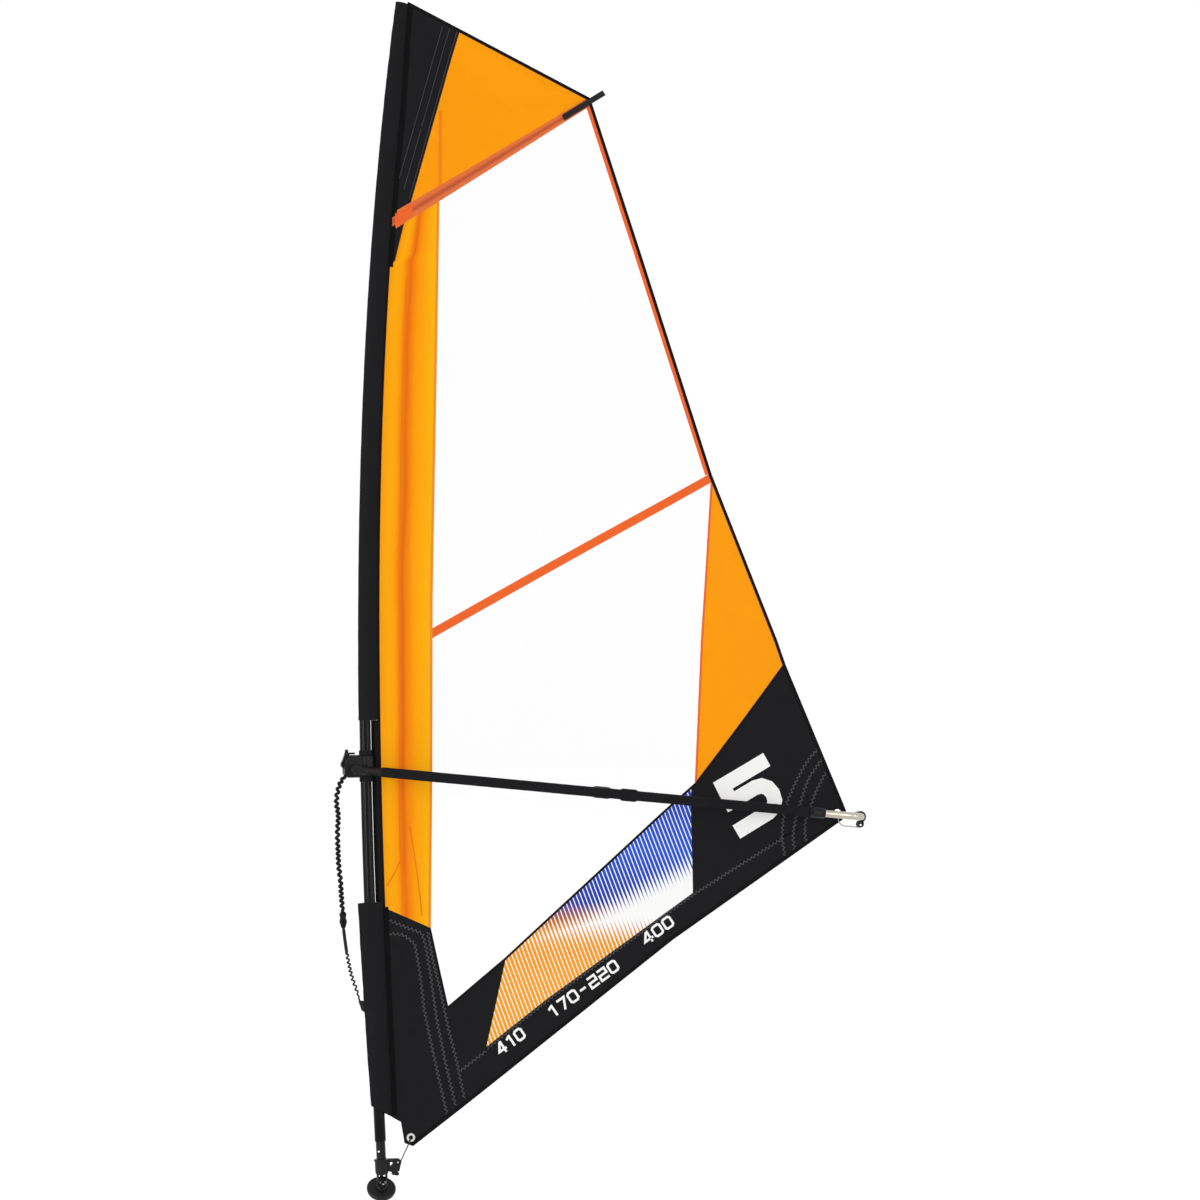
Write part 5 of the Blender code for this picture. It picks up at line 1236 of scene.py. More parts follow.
@dataclass
class SailCloths:
    """Every panel of the sail with its tapes, threads and numbers."""

    sail: Sail
    tape: float = 0.010
    thread: float = 0.0026

    def panels(self) -> None:
        """Makes the cloth and film panels and the piping on the free edges."""
        sail, plan = self.sail, self.sail.plan
        seam = plan.luff_seam
        aft_seam, low_seam = plan.leech_seam
        end_top, end_low = sail.pocket_end
        leech_in = sail.leech_in
        sail.panel("head_panel_black", sail.luff_edge(plan.pocket_top_z, sail.head_in[0][1]),
                   [sail.black_low, sail.black_top], BLACK_CLOTH, Slot.BLACK_CLOTH)
        sail.panel("head_corner_black", sail.luff_edge(plan.corner_luff_z, plan.pocket_low_z),
                   [plan.corner_low, sail.corner_top], BLACK_CLOTH, Slot.BLACK_CLOTH)
        sail.panel("head_panel_orange", [sail.black_low, sail.black_top], [end_top, end_top], ORANGE_CLOTH,
                   Slot.ORANGE_CLOTH)
        sail.panel("luff_panel", [*sail.luff_edge(plan.luff_panel_foot_z, plan.corner_luff_z), plan.corner_low,
                                  sail.corner_top],
                   [*seam[::-1], sail.luff_top], FOLD_SHADED_CLOTH, Slot.ORANGE_CLOTH, step=0.008)
        sail.panel("window_upper", [plan.strip_luff, seam[1], seam[0], sail.luff_top],
                   [sail.strip_leech, leech_in[1], end_low], CLEAR_FILM, Slot.CLEAR_FILM)
        sail.panel("middle_seam_strip", [sail.strip_low, plan.strip_luff],
                   [sail.strip_leech_low, sail.strip_edge, sail.strip_leech], RED_TAPE, Slot.RED_TAPE)
        sail.panel("window_lower", [plan.window_point, seam[3], seam[2], sail.strip_low],
                   [plan.window_point, plan.print_top, plan.print_clew_top, low_seam, aft_seam,
                    sail.strip_leech_low], CLEAR_FILM, Slot.CLEAR_FILM)
        sail.panel("leech_panel", [low_seam, aft_seam, sail.strip_leech_low],
                   [leech_in[4], leech_in[3], sail.strip_leech_low], ORANGE_CLOTH, Slot.ORANGE_CLOTH)
        sail.panel(
            "clew_patch",
            [plan.band_clew] * 4 + [plan.print_clew_low, plan.print_clew_top, low_seam, leech_in[4]],
            [plan.foot_clew, plan.clew_bottom, plan.clew, plan.clew_top]
            + [part_way(plan.clew_top, plan.clew_shoulder, share) for share in (0.06, 0.55, 0.58)]
            + [plan.clew_shoulder], BLACK_CLOTH, Slot.BLACK_CLOTH)
        sail.panel("print_panel", [plan.print_tack, plan.print_middle, plan.print_clew_low],
                   [plan.print_top, part_way(plan.print_top, plan.print_clew_top, 0.27), plan.print_clew_top],
                   PRINT_CLOTH, Slot.PRINT_CLOTH)
        sail.panel("foot_band", [plan.foot_band_tack, part_way(plan.foot_band_tack, plan.foot_middle, 0.5),
                                 plan.foot_middle, plan.foot_aft, plan.foot_clew],
                   [plan.print_tack, plan.print_middle, plan.print_clew_low, plan.band_clew], BLACK_CLOTH,
                   Slot.BLACK_CLOTH)
        upper = [(z, (z - 0.425) / (plan.luff_panel_foot_z - 0.425)) for z in np.linspace(0.5, 0.971, 6).tolist()]
        sail.panel(
            "tack_panel",
            [plan.tack, plan.tack_front]
            + [sail.luff_at(z) for z in (plan.tack_luff_z, 0.285, 0.345, 0.395, 0.425)]
            + [sail.luff_at(z) for z, _ in upper],
            [plan.tack_aft, part_way(plan.tack_aft, plan.foot_tack, 0.45), plan.foot_tack, plan.foot_band_tack,
             plan.print_tack, plan.print_top, plan.window_point]
            + [part_way(plan.window_point, seam[3], share) for _, share in upper], BLACK_CLOTH, Slot.BLACK_CLOTH)
        sail.panel("head_piping", sail.head_in, sail.head, BLACK_EDGE, Slot.BLACK_CLOTH, thick=0.003)
        sail.panel("leech_piping", leech_in, sail.leech, BLACK_EDGE, Slot.BLACK_CLOTH, thick=0.003)

    def tapes(self) -> None:
        """Makes the tapes over the seams, which show on both faces."""
        sail, plan = self.sail, self.sail.plan
        seam = plan.luff_seam
        aft_seam, low_seam = plan.leech_seam
        _, end_low = sail.pocket_end
        leech_in = sail.leech_in
        sail.strip("tape_leech_window", [[end_low, leech_in[1], sail.strip_leech]], 0.014, RED_TAPE,
                   Slot.RED_TAPE, shift=-0.0072)
        sail.strip("tape_luff_seam", [[*seam[::-1], sail.luff_top]], self.tape, SEAM_CLOTH, Slot.ORANGE_CLOTH)
        # Strips of deeper orange along creases in the luff panel: painted crease shade
        sail.strip("painted_crease_shade_luff", [smooth_route(points, 8) for points in (
            [(0.059, 1.271), (0.063, 1.149), (0.077, 1.06), (0.081, 0.952)],
            [(0.063, 1.138), (0.040, 1.090), (0.012, 1.045)],
            [(0.097, 1.26), (0.115, 1.150), (0.128, 1.059), (0.143, 0.938)],
            [(0.080, 3.240), (0.073, 3.058), (0.060, 2.614), (0.058, 2.072), (0.059, 1.712), (0.059, 1.271)])],
            0.0050, CREASE_SHADE_CLOTH, Slot.ORANGE_CLOTH, thick=0.0016)
        sail.strip("tape_leech_panel", [[low_seam, aft_seam, sail.strip_leech_low]], self.tape * 0.8, RED_TAPE,
                   Slot.RED_TAPE)
        sail.strip("edge_window_foot", [
            [plan.window_point, plan.print_top, plan.print_clew_top, low_seam, leech_in[4]],
            [seam[3], plan.window_point]], 0.008, BLACK_EDGE, Slot.BLACK_CLOTH)
        # A dark strip over the luff seam: partly its tape, partly painted shade of the sleeve's fold beside it
        sail.strip("edge_luff", [sail.luff_edge(plan.tack_luff_z + 0.003, plan.luff_panel_foot_z, 30),
                                 sail.luff_edge(plan.corner_luff_z, sail.head_in[0][1], 30)], 0.020, SEAM_SHADE_TAPE,
                   Slot.BLACK_CLOTH, shift=-0.0090)
        sail.strip("edge_luff_middle", [sail.luff_edge(plan.luff_panel_foot_z, plan.corner_luff_z, 80)], 0.009,
                   BLACK_EDGE, Slot.BLACK_CLOTH, shift=-0.0035)
        for name, line in (
                ("edge_foot", [plan.tack_aft, plan.foot_tack, plan.foot_band_tack, plan.foot_middle,
                               plan.foot_aft, plan.foot_clew, plan.clew_bottom]),
                ("edge_clew", [plan.clew_bottom, plan.clew, plan.clew_top, plan.clew_shoulder])):
            sail.strip(name, [line], 0.014, BLACK_EDGE, Slot.BLACK_CLOTH, shift=0.0068, thick=0.0026)
        sail.strip("edge_leech", [sail.head, sail.leech], 0.012, BLACK_EDGE, Slot.BLACK_CLOTH, shift=-0.0062,
                   thick=0.0034)

    def threads(self) -> None:
        """Makes the rows of stitching. Real thread is 0.5 mm thick, and this is as thick as needed to show."""
        sail, plan = self.sail, self.sail.plan
        head = [offset_line([part_way(sail.black_low, sail.black_top, 1.5 * step), sail.black_top], step)
                for step in (0.010, 0.038, 0.065)]
        tack = [[(0.011, 0.877), (0.072, 0.872), (0.116, 0.839), (0.136, 0.732), (0.152, 0.597), (0.177, 0.481),
                 (0.207, 0.345), (0.234, 0.228)],
                [(0.005, 0.930), (0.143, 0.874), (0.159, 0.819), (0.175, 0.725), (0.198, 0.564), (0.231, 0.402),
                 (0.266, 0.256)],
                [(0.164, 0.879), (0.183, 0.780), (0.212, 0.665), (0.241, 0.530), (0.268, 0.424), (0.298, 0.282)],
                [(0.285, 0.379), (0.378, 0.447)]]
        arcs = [smooth_route(points, 10) for points in (
            [(1.643, 1.529), (1.598, 1.475), (1.548, 1.386), (1.519, 1.315), (1.506, 1.232), (1.508, 1.179),
             (1.516, 1.133)],
            [(1.662, 1.493), (1.611, 1.422), (1.582, 1.344), (1.560, 1.279), (1.548, 1.208), (1.553, 1.160)],
            [(1.677, 1.442), (1.642, 1.380), (1.620, 1.326), (1.601, 1.279), (1.594, 1.231), (1.599, 1.185)])]
        band = [offset_line([plan.print_tack, plan.print_middle, plan.print_clew_low, plan.band_clew], -0.006)]
        rows = [zigzag(line, 0.0165, 0.0050) for line in tack + arcs + band]
        sail.strip("stitching_sail", rows, self.thread, STITCH, Slot.BLACK_CLOTH, thick=0.0019)
        sail.strip("stitching_black_head", head, 0.0015, STITCH, Slot.BLACK_CLOTH, thick=0.0024)
        sail.strip("stitching_head", [[(0.204, 3.858), (0.204, 3.585)]], 0.013, SEAM_THREAD, Slot.ORANGE_CLOTH,
                   thick=0.0017)

    def numbers(self) -> None:
        """Prints a plain block number on the clew patch and plain size numbers along the foot."""
        sail = self.sail
        shape = ((0.128, 0.082), (-0.065, 0.082), (-0.068, 0.014), (0.036, 0.014), (0.062, 0.007),
                 (0.079, -0.012), (0.085, -0.039), (0.079, -0.066), (0.062, -0.085), (0.036, -0.092),
                 (-0.108, -0.092))
        turn = math.radians(30)
        stroke = [(1.376 + x * math.cos(turn) - z * math.sin(turn),
                   1.358 + x * math.sin(turn) + z * math.cos(turn)) for x, z in shape]
        proud = sail.plan.cloth / 2 + 0.0003
        sail.strip("number_clew", [stroke], 0.056, WHITE_INK, Slot.PRINT_CLOTH, thick=0.0004, proud=proud)
        strokes = []
        for text, start, end in (("410", (0.435, 0.430), (0.526, 0.492)),
                                 ("170-220", (0.626, 0.556), (0.878, 0.729)),
                                 ("400", (0.982, 0.814), (1.087, 0.886))):
            step = np.subtract(end, start) / (0.75 * len(text) - 0.23)
            up = np.array([-step[1], step[0]]) / np.linalg.norm(step) * 0.045
            strokes += [[tuple(start + step * (0.75 * place + x) + up * z) for x, z in stroke]
                        for place, digit in enumerate(text) for stroke in DIGITS[digit]]
        sail.strip("numbers_foot", strokes, 0.0085, WHITE_INK, Slot.PRINT_CLOTH, thick=0.0004, proud=proud)

    def pocket(self) -> None:
        """Makes the batten pocket as a sheet that swells over the batten, and a patch at its luff end."""
        sail = self.sail
        first = sail.pocket[0][0][0] + 0.002
        top, low = sail.pocket
        upper = np.linspace(on_line(*top, first), sail.pocket_end[0], 70)
        lower = np.linspace(on_line(*low, first), sail.pocket_end[1], 70)
        middle = sail.lift(ruled(lower, upper, 25))
        across = np.abs(np.linspace(0, 1, 25) - 0.5)[None] * 0.068
        swell = np.clip((0.020 - across) / 0.012, 0, 1)
        thick = 0.0010 + 0.0046 * swell**2 * (3 - 2 * swell)
        pocket = shell("cloth_batten_pocket", middle, np.broadcast_to(thick, middle.shape[:2]), POCKET_CLOTH)
        place(pocket, "rig", Slot.RED_TAPE, "batten_pocket")
        patch = middle[1:8, 3:-3]
        swollen = np.broadcast_to(thick, middle.shape[:2])[1:8, 3:-3] + 0.0012
        place(shell("patch_pocket_luff", patch, swollen, RED_TAPE), "rig", Slot.RED_TAPE)

    def build(self) -> None:
        """Makes everything on the sail."""
        self.panels()
        self.tapes()
        self.threads()
        self.numbers()
        self.pocket()


# Boom


@dataclass
class Boom:
    """The wishbone boom's soft grips and bent tail, in the boom's own frame."""

    mast: MastLine
    height: float = 1.476
    drop: float = 0.097
    trunnion_ahead: float = 0.046
    trunnion_drop: float = 0.011
    arm_radius: float = 0.0155
    arm_wall: float = 0.0015
    grip_thick: float = 0.0020
    touch: float = 0.0003
    run: float = 0.0004
    arm_start: float = -0.022
    grip: tuple[float, float] = (0.045, 1.655)
    front_v: float = 0.056
    shape: tuple[Point, ...] = ((0.116, 0.108), (0.349, 0.178), (0.620, 0.200), (0.837, 0.158), (0.953, 0.101))
    joint: float = 0.930
    swell: float = 0.0045
    swell_half: float = 0.029
    tail_v: float = 0.085
    straight: float = 1.290
    tail_start: float = 1.330
    bend: float = 1.800
    leg_points: int = 30
    turn_points: int = 60
    tail_sides: int = 48

    def __post_init__(self) -> None:
        """Works out the frames of the boom's head and of the boom."""
        centre, aft = self.mast.axes(np.array(self.height))
        lean = math.atan2(-aft[2], aft[0])
        self.head_frame = Matrix.Translation(centre) @ Matrix.Rotation(lean, 4, "Y")
        pivot = self.head_frame @ Vector((-self.trunnion_ahead, 0, -self.trunnion_drop))
        self.frame = (Matrix.Translation(pivot) @ Matrix.Rotation(math.atan(self.drop), 4, "Y")
                      @ Matrix.Translation((self.trunnion_ahead, 0, 0)))

    def to_rig(self, points: np.ndarray) -> np.ndarray:
        """Moves points from the boom's frame to the rig's."""
        turn = np.array(self.frame.to_3x3())
        return points @ turn.T + np.array(self.frame.translation)

    def route(self, u: np.ndarray) -> tuple[np.ndarray, np.ndarray]:
        """The starboard arm's sideways place at distances aft, and its slope.

        Args:
            u: Distances aft in the boom's frame.

        Returns:
            The places and the slopes.
        """
        knots = [(self.arm_start - 0.06, self.front_v - 0.014), (self.arm_start, self.front_v)]
        knots += [(share * self.straight, v) for share, v in self.shape]
        knots += [(u, self.tail_v) for u in (self.straight, self.straight + 0.15, self.bend + 0.1)]
        dense = smooth_route(knots, 24)
        dense[dense[:, 0] > self.straight, 1] = self.tail_v
        v = np.interp(u, dense[:, 0], dense[:, 1])
        slope = (np.interp(u + 0.004, *dense.T) - np.interp(u - 0.004, *dense.T)) / 0.008
        return v, slope

    def arm_rings(self, u: np.ndarray, radii: np.ndarray, side: int, sides: int = 40) -> np.ndarray:
        """Rings square to one arm, as (distances, sides, 3). side is 1 to starboard and -1 to port.

        Args:
            u: Distances aft in the boom's frame.
            radii: The radius at each.
            side: 1 for the starboard arm and -1 for the port one.
            sides: Points round each ring.

        Returns:
            The rings, in the rig's frame.
        """
        v, slope = self.route(u)
        size = np.sqrt(1 + slope**2)
        angle = circle(sides)[None, :]
        r = radii[:, None]
        x = u[:, None] - (slope / size)[:, None] * r * np.cos(angle)
        y = v[:, None] + (1 / size)[:, None] * r * np.cos(angle)
        return self.to_rig(np.stack([x, y * side, r * np.sin(angle) + 0 * x], -1))

    def grips(self) -> None:
        """Makes the foam grips: round, swollen over the joint in each arm, and drawn in at their ends."""
        start, end = self.grip
        u = np.unique(np.r_[np.linspace(start, end, 260), np.linspace(self.joint - 0.05, self.joint + 0.05, 40)])
        bump = np.clip((self.swell_half - np.abs(u - self.joint)) / 0.010 + 0.5, 0, 1)
        ends = np.clip(np.minimum(u - start, end - u) / 0.006, 0, 1)
        outer = (self.arm_radius + self.touch + self.grip_thick * (0.35 + 0.65 * np.sqrt(ends))
                 + self.swell * bump**2 * (3 - 2 * bump) + 0.00025 * np.sin(u / 0.021) * np.sin(u / 0.0137 + 1))
        bore = np.full_like(u, self.arm_radius + self.touch)
        for name, side in (("port", -1), ("starboard", 1)):
            grip = hollow(f"foam_grip_{name}", self.arm_rings(u, outer, side), self.arm_rings(u, bore, side),
                          EVA_FOAM)
            place(grip, "boom", Slot.FOAM, f"boom_grip_{name}")

    def tail(self) -> None:
        """Makes the tail tube: a round section carried down one leg, round a half circle and up the other."""
        radius = self.arm_radius - self.arm_wall - self.run
        count = self.leg_points
        turn = np.linspace(0, np.pi, self.turn_points)
        leg = np.linspace(self.tail_start, self.bend, count)
        path = np.concatenate([
            np.stack([leg, np.full(count, self.tail_v)], 1),
            np.stack([self.bend + self.tail_v * np.sin(turn), self.tail_v * np.cos(turn)], 1)[1:-1],
            np.stack([leg[::-1], np.full(count, -self.tail_v)], 1)])
        outward = np.concatenate([
            np.tile([0.0, 1.0], (count, 1)), np.stack([np.sin(turn), np.cos(turn)], 1)[1:-1],
            np.tile([0.0, -1.0], (count, 1))])
        angle = circle(self.tail_sides)[None, :, None]
        rings = []
        for size in (radius, radius - self.arm_wall):
            flat = path[:, None] + outward[:, None] * size * np.cos(angle)
            up = np.broadcast_to(size * np.sin(angle), (len(path), self.tail_sides, 1))
            rings.append(self.to_rig(np.concatenate([flat, up], 2)))
        place(hollow("tube_boom_tail", *rings, ALLOY), "boom_tail", Slot.ALLOY, "tail_tube")

    def build(self) -> None:
        """Makes the grips and the tail."""
        self.grips()
        self.tail()


# Lines


@dataclass
class Lines:
    """The uphaul with its knot and shock cord, and the downhaul and outhaul lines."""

    boom: Boom
    sail: Sail
    touch: float = 0.0003
    head_front: float = 0.080
    head_height: float = 0.080
    chin: float = 0.014
    uphaul_radius: float = 0.008
    bungee_radius: float = 0.0045
    line_radius: float = 0.002
    knot_radius: float = 0.0165
    rope_thick: float = 0.0066
    rope_reach: float = 0.0050
    cord_thick: float = 0.0032
    cord_reach: float = 0.0045
    rope_pitch: float = 0.019
    cord_pitch: float = 0.017
    rope_step: float = 0.0016
    rope_ease: float = 0.020
    cord_step: float = 0.0012
    line_step: float = 0.002
    uphaul: tuple[Point, ...] = ((-0.166, 1.385), (-0.170, 1.345), (-0.164, 1.305), (-0.166, 1.240),
                                 (-0.164, 1.177), (-0.161, 1.120), (-0.155, 1.070), (-0.151, 1.010),
                                 (-0.146, 0.955))
    bungee: tuple[Point, ...] = ((-0.143, 0.897), (-0.137, 0.850), (-0.126, 0.785), (-0.112, 0.725),
                                 (-0.092, 0.668), (-0.084, 0.640))
    downhaul_sheave: Point = (0.058, 0.060)
    downhaul_radius: float = 0.0095
    outhaul_radius: float = 0.009

    def wrap(self, frame: Matrix, centre: Point, radius: float, start: float, end: float) -> list[list[float]]:
        """Points of a line that lies in a sheave's groove, from start to end in degrees.

        Args:
            frame: The frame that the sheave is placed in.
            centre: The sheave's centre there.
            radius: The groove's radius.
            start: The first angle.
            end: The last angle.

        Returns:
            The points, in the rig's frame.
        """
        angles = np.radians(np.linspace(start, end, 9))
        size = radius + self.line_radius / 2
        return [list(frame @ Vector((centre[0] + size * math.cos(a), 0, centre[1] + size * math.sin(a))))
                for a in angles.tolist()]

    def cord(self, name: str, node: str, path: np.ndarray, radii: Value, diameter: float,
             finish: Finish, far_end: str, lay: str, with_pieces: Sequence[bpy.types.Object] = (),
             bent: np.ndarray | None = None) -> bpy.types.Object:
        """Args:
            name: The piece's name.
            node: The node that it replaces.
            path: Its centreline, without crimps.
            radii: Its radius, or one for each point.
            diameter: The diameter that its crimps fill. Not used.
            finish: Its finish.
            far_end: What is on its far end. Not used.
            lay: How it lies. Not used.
            with_pieces: Pieces that belong to it. Not used.
            bent: Its centreline with crimps, where it has them.

        Returns:
            The cord.
        """
        made = swept(name, path if bent is None else bent, radii, finish, sides=16)
        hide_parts(node)
        return made

    def thin(self, name: str, node: str, route: list[list[float]], finish: Finish) -> bpy.types.Object:
        """Makes a thin taut line through the places of its route.

        Args:
            name: The piece's name.
            node: The node that it replaces.
            route: The places.
            finish: Its finish.

        Returns:
            The line.
        """
        path = spaced(smooth_route(route, 8, True), self.line_step)
        return self.cord(name, node, path, self.line_radius, 2 * self.line_radius, finish, "object", "taut")

    def uphaul_rope(self) -> None:
        """Makes the crimped rope, which hangs from the boom head's chin and ends in the knot."""
        head = self.boom.head_frame
        chin = head @ Vector((-self.head_front + self.chin / 2, 0, -self.head_height / 2 + self.chin / 2))
        away = (head.to_3x3() @ Vector((-1, 0, -1))).normalized()
        route = [list(chin + away * step) for step in (self.touch, 0.007, 0.014)]
        path = spaced(smooth_route(route + [[x, 0, z] for x, z in self.uphaul], 24, True), self.rope_step)
        count = np.arange(len(path))
        ends = np.clip(np.minimum(count, count[::-1]) * self.rope_step / self.rope_ease, 0, 1)
        knot = self.knot()
        rope = self.cord("uphaul_braided_rope", "uphaul_rope", path, self.rope_thick - 0.0012 * ends,
                         2 * self.uphaul_radius, UPHAUL_COVER, "knot", "hanging", [knot],
                         crimped(path, ends * self.rope_reach, self.rope_pitch))
        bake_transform(rope)

    def shock_cord(self) -> None:
        """Makes the shock cord: doubled under the knot, then one crimped strand down to the sleeve's hook."""
        path = spaced(smooth_route([[x, 0, z] for x, z in self.bungee], 16, True), self.cord_step)
        run = np.linspace(0, 1, len(path))
        reach = np.interp(run, (0, 0.31, 0.37, 0.82, 1), (0, 0, self.cord_reach, self.cord_reach, 0))
        radii = np.interp(run, (0, 0.03, 0.31, 0.37, 1),
                          (0.0050, 0.0060, 0.0060, self.cord_thick, self.cord_thick))
        cord = self.cord("uphaul_shock_cord", "uphaul_bungee", path, radii, 2 * self.bungee_radius, SHOCK_CORD,
                         "object", "taut", bent=crimped(path, reach, self.cord_pitch))
        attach(cord, "rig")

    def downhaul(self, side: float) -> None:
        """Makes the downhaul line: through the tack eyelet, down its port side and round the foot's sheave.

        Args:
            side: How far to starboard the line lies beside the cloth, less than 0 for port.
        """
        x, z = self.sail.plan.tack_eyelet
        route = [[x, 0.005, z], [x, 0.001, z], [x - 0.0005, side * 0.8, z - 0.001],
                 [x - 0.002, side - 0.002, z - 0.006], [x - 0.008, side - 0.001, z - 0.020]]
        mast_frame = Matrix.Rotation(math.atan(self.boom.mast.lean), 4, "Y")
        route += self.wrap(mast_frame, self.downhaul_sheave, self.downhaul_radius, -20, -85)
        line = self.thin("downhaul_braided_line", "downhaul_line", route, DOWNHAUL_COVER)
        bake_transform(line)

    def outhaul(self, side: float) -> None:
        """Makes the outhaul line: through the clew eyelet, down its port side and round the boom end's sheave.

        Args:
            side: How far to starboard the line lies beside the cloth, less than 0 for port.
        """
        x, z = self.sail.plan.clew_eyelet
        route = [[x, 0.005, z], [x, 0.001, z], [x + 0.0005, side * 0.8, z - 0.001],
                 [x + 0.001, side - 0.002, z - 0.006], [x + 0.004, side - 0.002, z - 0.028],
                 [x + 0.018, side, z - 0.044], [x + 0.050, side * 0.5, z - 0.048]]
        middle = self.boom.bend + self.boom.tail_v - 0.0005
        outer = self.boom.arm_radius - self.boom.arm_wall - self.boom.run + 0.0018 + 0.006
        sheave = (middle + 0.004, -outer - self.outhaul_radius)
        route += self.wrap(self.boom.frame, sheave, self.outhaul_radius, -95, 20)
        line = self.thin("outhaul_braided_line", "outhaul_line", route, OUTHAUL_COVER)
        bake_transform(line)

    def build(self) -> None:
        """Makes every line."""
        self.uphaul_rope()
        self.shock_cord()
        side = -(self.sail.plan.cloth / 2 + 0.0018 + self.touch + self.line_radius)
        self.downhaul(side)
        self.outhaul(side)

    def knot(self) -> bpy.types.Object:
        """Makes the knot under the rope: one strand round a trefoil path, drawn long along the rope.

        Returns:
            The knot.
        """
        top, low = np.array(self.uphaul[-1]), np.array(self.bungee[0])
        centre, along = (top + low) / 2, (low - top) / np.linalg.norm(low - top)
        turn = np.linspace(0, 2 * np.pi, 160)
        a = (2 + np.cos(3 * turn)) * np.cos(2 * turn)
        b = (2 + np.cos(3 * turn)) * np.sin(2 * turn)
        c = np.sin(3 * turn)
        reach = np.linalg.norm(low - top) / 2 - 0.0040
        flat = centre + np.outer((a - 0.315) / 2.685 * reach, along) + np.outer(c * 0.0070, [-along[1], along[0]])
        path = np.stack([flat[:, 0], b / 3 * (self.knot_radius - 0.0055), flat[:, 1]], 1)
        knot = swept("uphaul_tied_knot", path, 0.0055, UPHAUL_COVER, sides=14)
        return place(knot, "rig", Slot.ROPE, "uphaul_knot")


# The CAD model's own pieces and the studio


def spring_pin(mast: MastLine) -> None:
    """Makes the spring pin of the mast extension: a steel dome that stands out of the tube's port side.

    Its profile is half an ellipse, carried round the line that points straight out of the tube.

    Args:
        mast: The mast, whose line the extension follows.
    """
    height, radius, reach, seat, sides = 0.1045, 0.0045, 0.0030, 0.0168, 24
    away = np.array([-0.59, -0.807, 0.0])
    level = np.cross(away, (0.0, 0.0, 1.0))
    turn = circle(sides)[None, :, None]
    climb = np.linspace(0, np.pi / 2, 9)[:, None, None]
    centre = np.array([mast.lean * height, 0, height]) + away * seat
    rings = centre + radius * np.cos(climb) * (level * np.cos(turn) + np.array([0, 0, 1.0]) * np.sin(turn))
    rings = rings + away * reach * np.sin(climb)
    foot = np.broadcast_to(centre, (1, sides, 3))
    pin = grid_mesh("pin_extension_spring", np.concatenate([foot, rings]), STEEL, across=True)
    place(pin, "extension", Slot.STEEL)


def finish_nodes(nodes: dict[str, bpy.types.Object]) -> None:
    """Gives every CAD node that stays its finish.

    Args:
        nodes: The nodes by name.
    """
    chosen = {CARBON: ("mast_ferrule",),
              BLACK_ALLOY: ("boom_arm_port", "boom_arm_starboard", "extension_tube", "trunnion_pin"),
              STEEL: ("tack_eyelet", "clew_eyelet", "lever_pin", "outhaul_axle", "downhaul_axle",
                      "joint_cross"),
              RUBBER: ("clamp_liner", "base_pad")}
    finishes = {name: finish for finish, names in chosen.items() for name in names}
    for name, item in nodes.items():
        finish = finishes.get(name, BLACK_NYLON)
        item.data.materials.clear()
        item.data.materials.append(finish.build())


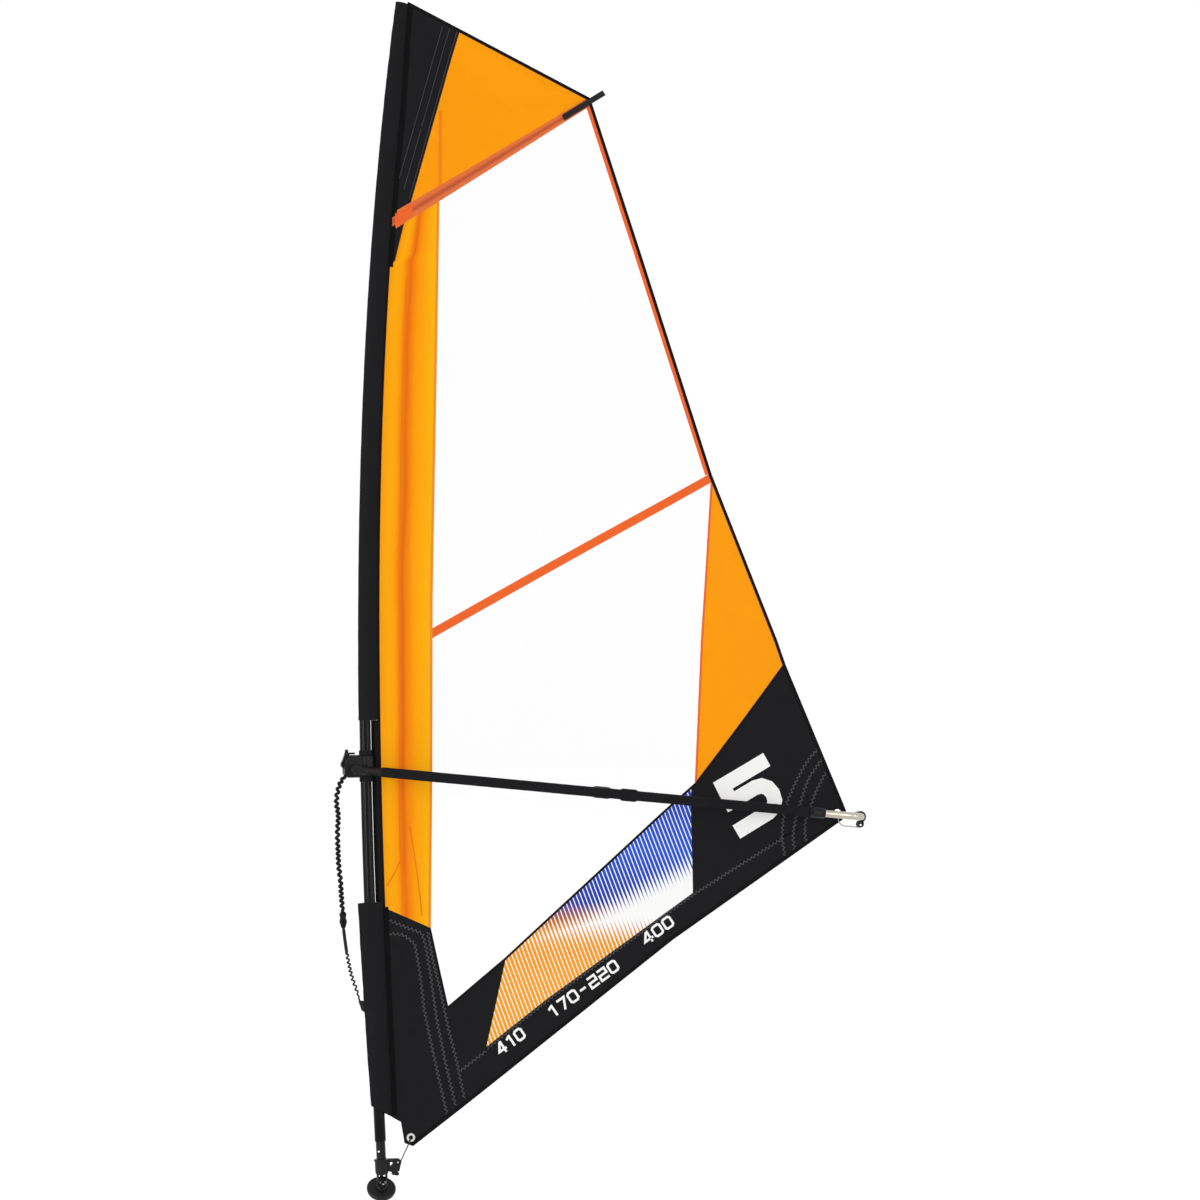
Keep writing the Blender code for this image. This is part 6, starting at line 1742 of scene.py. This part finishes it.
@dataclass(frozen=True)
class Studio:
    """White studio: soft light from all round, a large lamp from the front left and a white floor."""

    lens: float = 85.0
    camera_at: tuple[float, float, float] = (-1.8846, -10.0329, 1.662)
    camera_tip: float = 92.303
    camera_turn: float = -15.0
    around: float = 0.54
    floor_z: float = -0.110
    floor_reach: float = 80.0
    aim: tuple[float, float, float] = (0.9, 0.0, 2.1)

    def background(self, tree: bpy.types.NodeTree) -> bpy.types.NodeSocket:
        """1 for camera, glossy and transmission rays, which see plain white.

        Args:
            tree: A material's or the world's node tree.

        Returns:
            The share, 0 or 1.
        """
        path = add(tree, "ShaderNodeLightPath")
        seen = add(tree, "ShaderNodeMath", {"operation": "MAXIMUM"}, {
            0: path.outputs["Is Camera Ray"], 1: path.outputs["Is Glossy Ray"]})
        return add(tree, "ShaderNodeMath", {"operation": "MAXIMUM"}, {
            0: seen.outputs[0], 1: path.outputs["Is Transmission Ray"]}).outputs[0]

    def camera(self) -> None:
        """Makes the camera, square on to the port side as in the photograph."""
        scene = bpy.context.scene
        camera = bpy.data.cameras.new("camera")
        camera.lens = self.lens
        eye = bpy.data.objects.new("camera", camera)
        eye.location = self.camera_at
        eye.rotation_euler = (math.radians(self.camera_tip), 0, math.radians(self.camera_turn))
        scene.collection.objects.link(eye)
        scene.camera = eye

    def world(self) -> None:
        """Makes the room's light, soft from all round."""
        world = bpy.data.worlds.new("white_room")
        world.use_nodes = True
        bpy.context.scene.world = world
        tree = world.node_tree
        tree.nodes.clear()
        strength = add(tree, "ShaderNodeMapRange", None, {
            "Value": self.background(tree), "To Min": self.around, "To Max": 1.0})
        shader = add(tree, "ShaderNodeBackground", None, {"Color": (1, 1, 1, 1), "Strength": strength.outputs[0]})
        add(tree, "ShaderNodeOutputWorld", None, {"Surface": shader.outputs[0]})

    def lamps(self) -> None:
        """Makes the lamps, which all point at the middle of the sail."""
        for name, at, size, power in (("lamp_front_left", (-7.0, -8.0, 2.4), (1.2, 5.0), 290.0),
                                      ("lamp_front_right", (6.0, -9.0, 2.6), (3.0, 5.0), 170.0),
                                      ("lamp_strip_left", (-8.5, -3.0, 1.5), (2.0, 6.0), 180.0),
                                      ("lamp_strip_right", (8.4, -3.2, 1.5), (0.3, 6.0), 50.0),
                                      ("lamp_back", (3.0, 9.0, 5.0), (4.0, 4.0), 220.0)):
            lamp = bpy.data.lights.new(name, "AREA")
            lamp.shape = "RECTANGLE"
            lamp.size, lamp.size_y = size
            lamp.energy = power
            item = bpy.data.objects.new(name, lamp)
            item.location = at
            item.rotation_euler = (Vector(self.aim) - Vector(at)).to_track_quat("-Z", "Y").to_euler()
            bpy.context.scene.collection.objects.link(item)

    def floor(self) -> None:
        """Makes the floor: pale, with the object's shadow kept at part strength."""
        mesh = bpy.data.meshes.new("floor")
        corners = [(x * self.floor_reach, y * self.floor_reach, self.floor_z)
                   for x, y in ((-1, -1), (1, -1), (1, 1), (-1, 1))]
        mesh.from_pydata(corners, [], [(0, 1, 2, 3)])
        made = bpy.data.materials.new("white_floor")
        made.use_nodes = True
        tree = made.node_tree
        tree.nodes["Principled BSDF"].inputs["Base Color"].default_value = linear("#F2F2F2")
        tree.nodes["Principled BSDF"].inputs["Roughness"].default_value = 1.0
        share = add(tree, "ShaderNodeMath", {"operation": "MULTIPLY"}, {0: self.background(tree), 1: 0.80})
        glow = add(tree, "ShaderNodeEmission", None, {"Color": (1, 1, 1, 1), "Strength": 1.14})
        mix = add(tree, "ShaderNodeMixShader", None, {
            0: share.outputs[0], 1: tree.nodes["Principled BSDF"].outputs[0], 2: glow.outputs[0]})
        tree.links.new(mix.outputs[0], tree.nodes["Material Output"].inputs["Surface"])
        mesh.materials.append(made)
        item = bpy.data.objects.new("floor", mesh)
        bpy.context.scene.collection.objects.link(item)

    def build(self) -> None:
        """Makes the camera, world, lamps and floor, with colours shown as they are."""
        bpy.context.scene.view_settings.view_transform = "Standard"
        self.camera()
        self.world()
        self.lamps()
        self.floor()


def main() -> None:
    """Builds the whole picture."""
    logging.basicConfig(level=logging.INFO, format="%(message)s")
    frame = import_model()
    Studio().build()
    finish_nodes(frame["nodes"])
    mast = MastLine()
    sleeve = LuffSleeve(mast)
    sail = Sail(sleeve)
    boom = Boom(mast)
    Lines(boom, sail).build()
    mast.build()
    spring_pin(mast)
    sleeve.build()
    SailCloths(sail).build()
    boom.build()


if __name__ == "__main__":
    main()
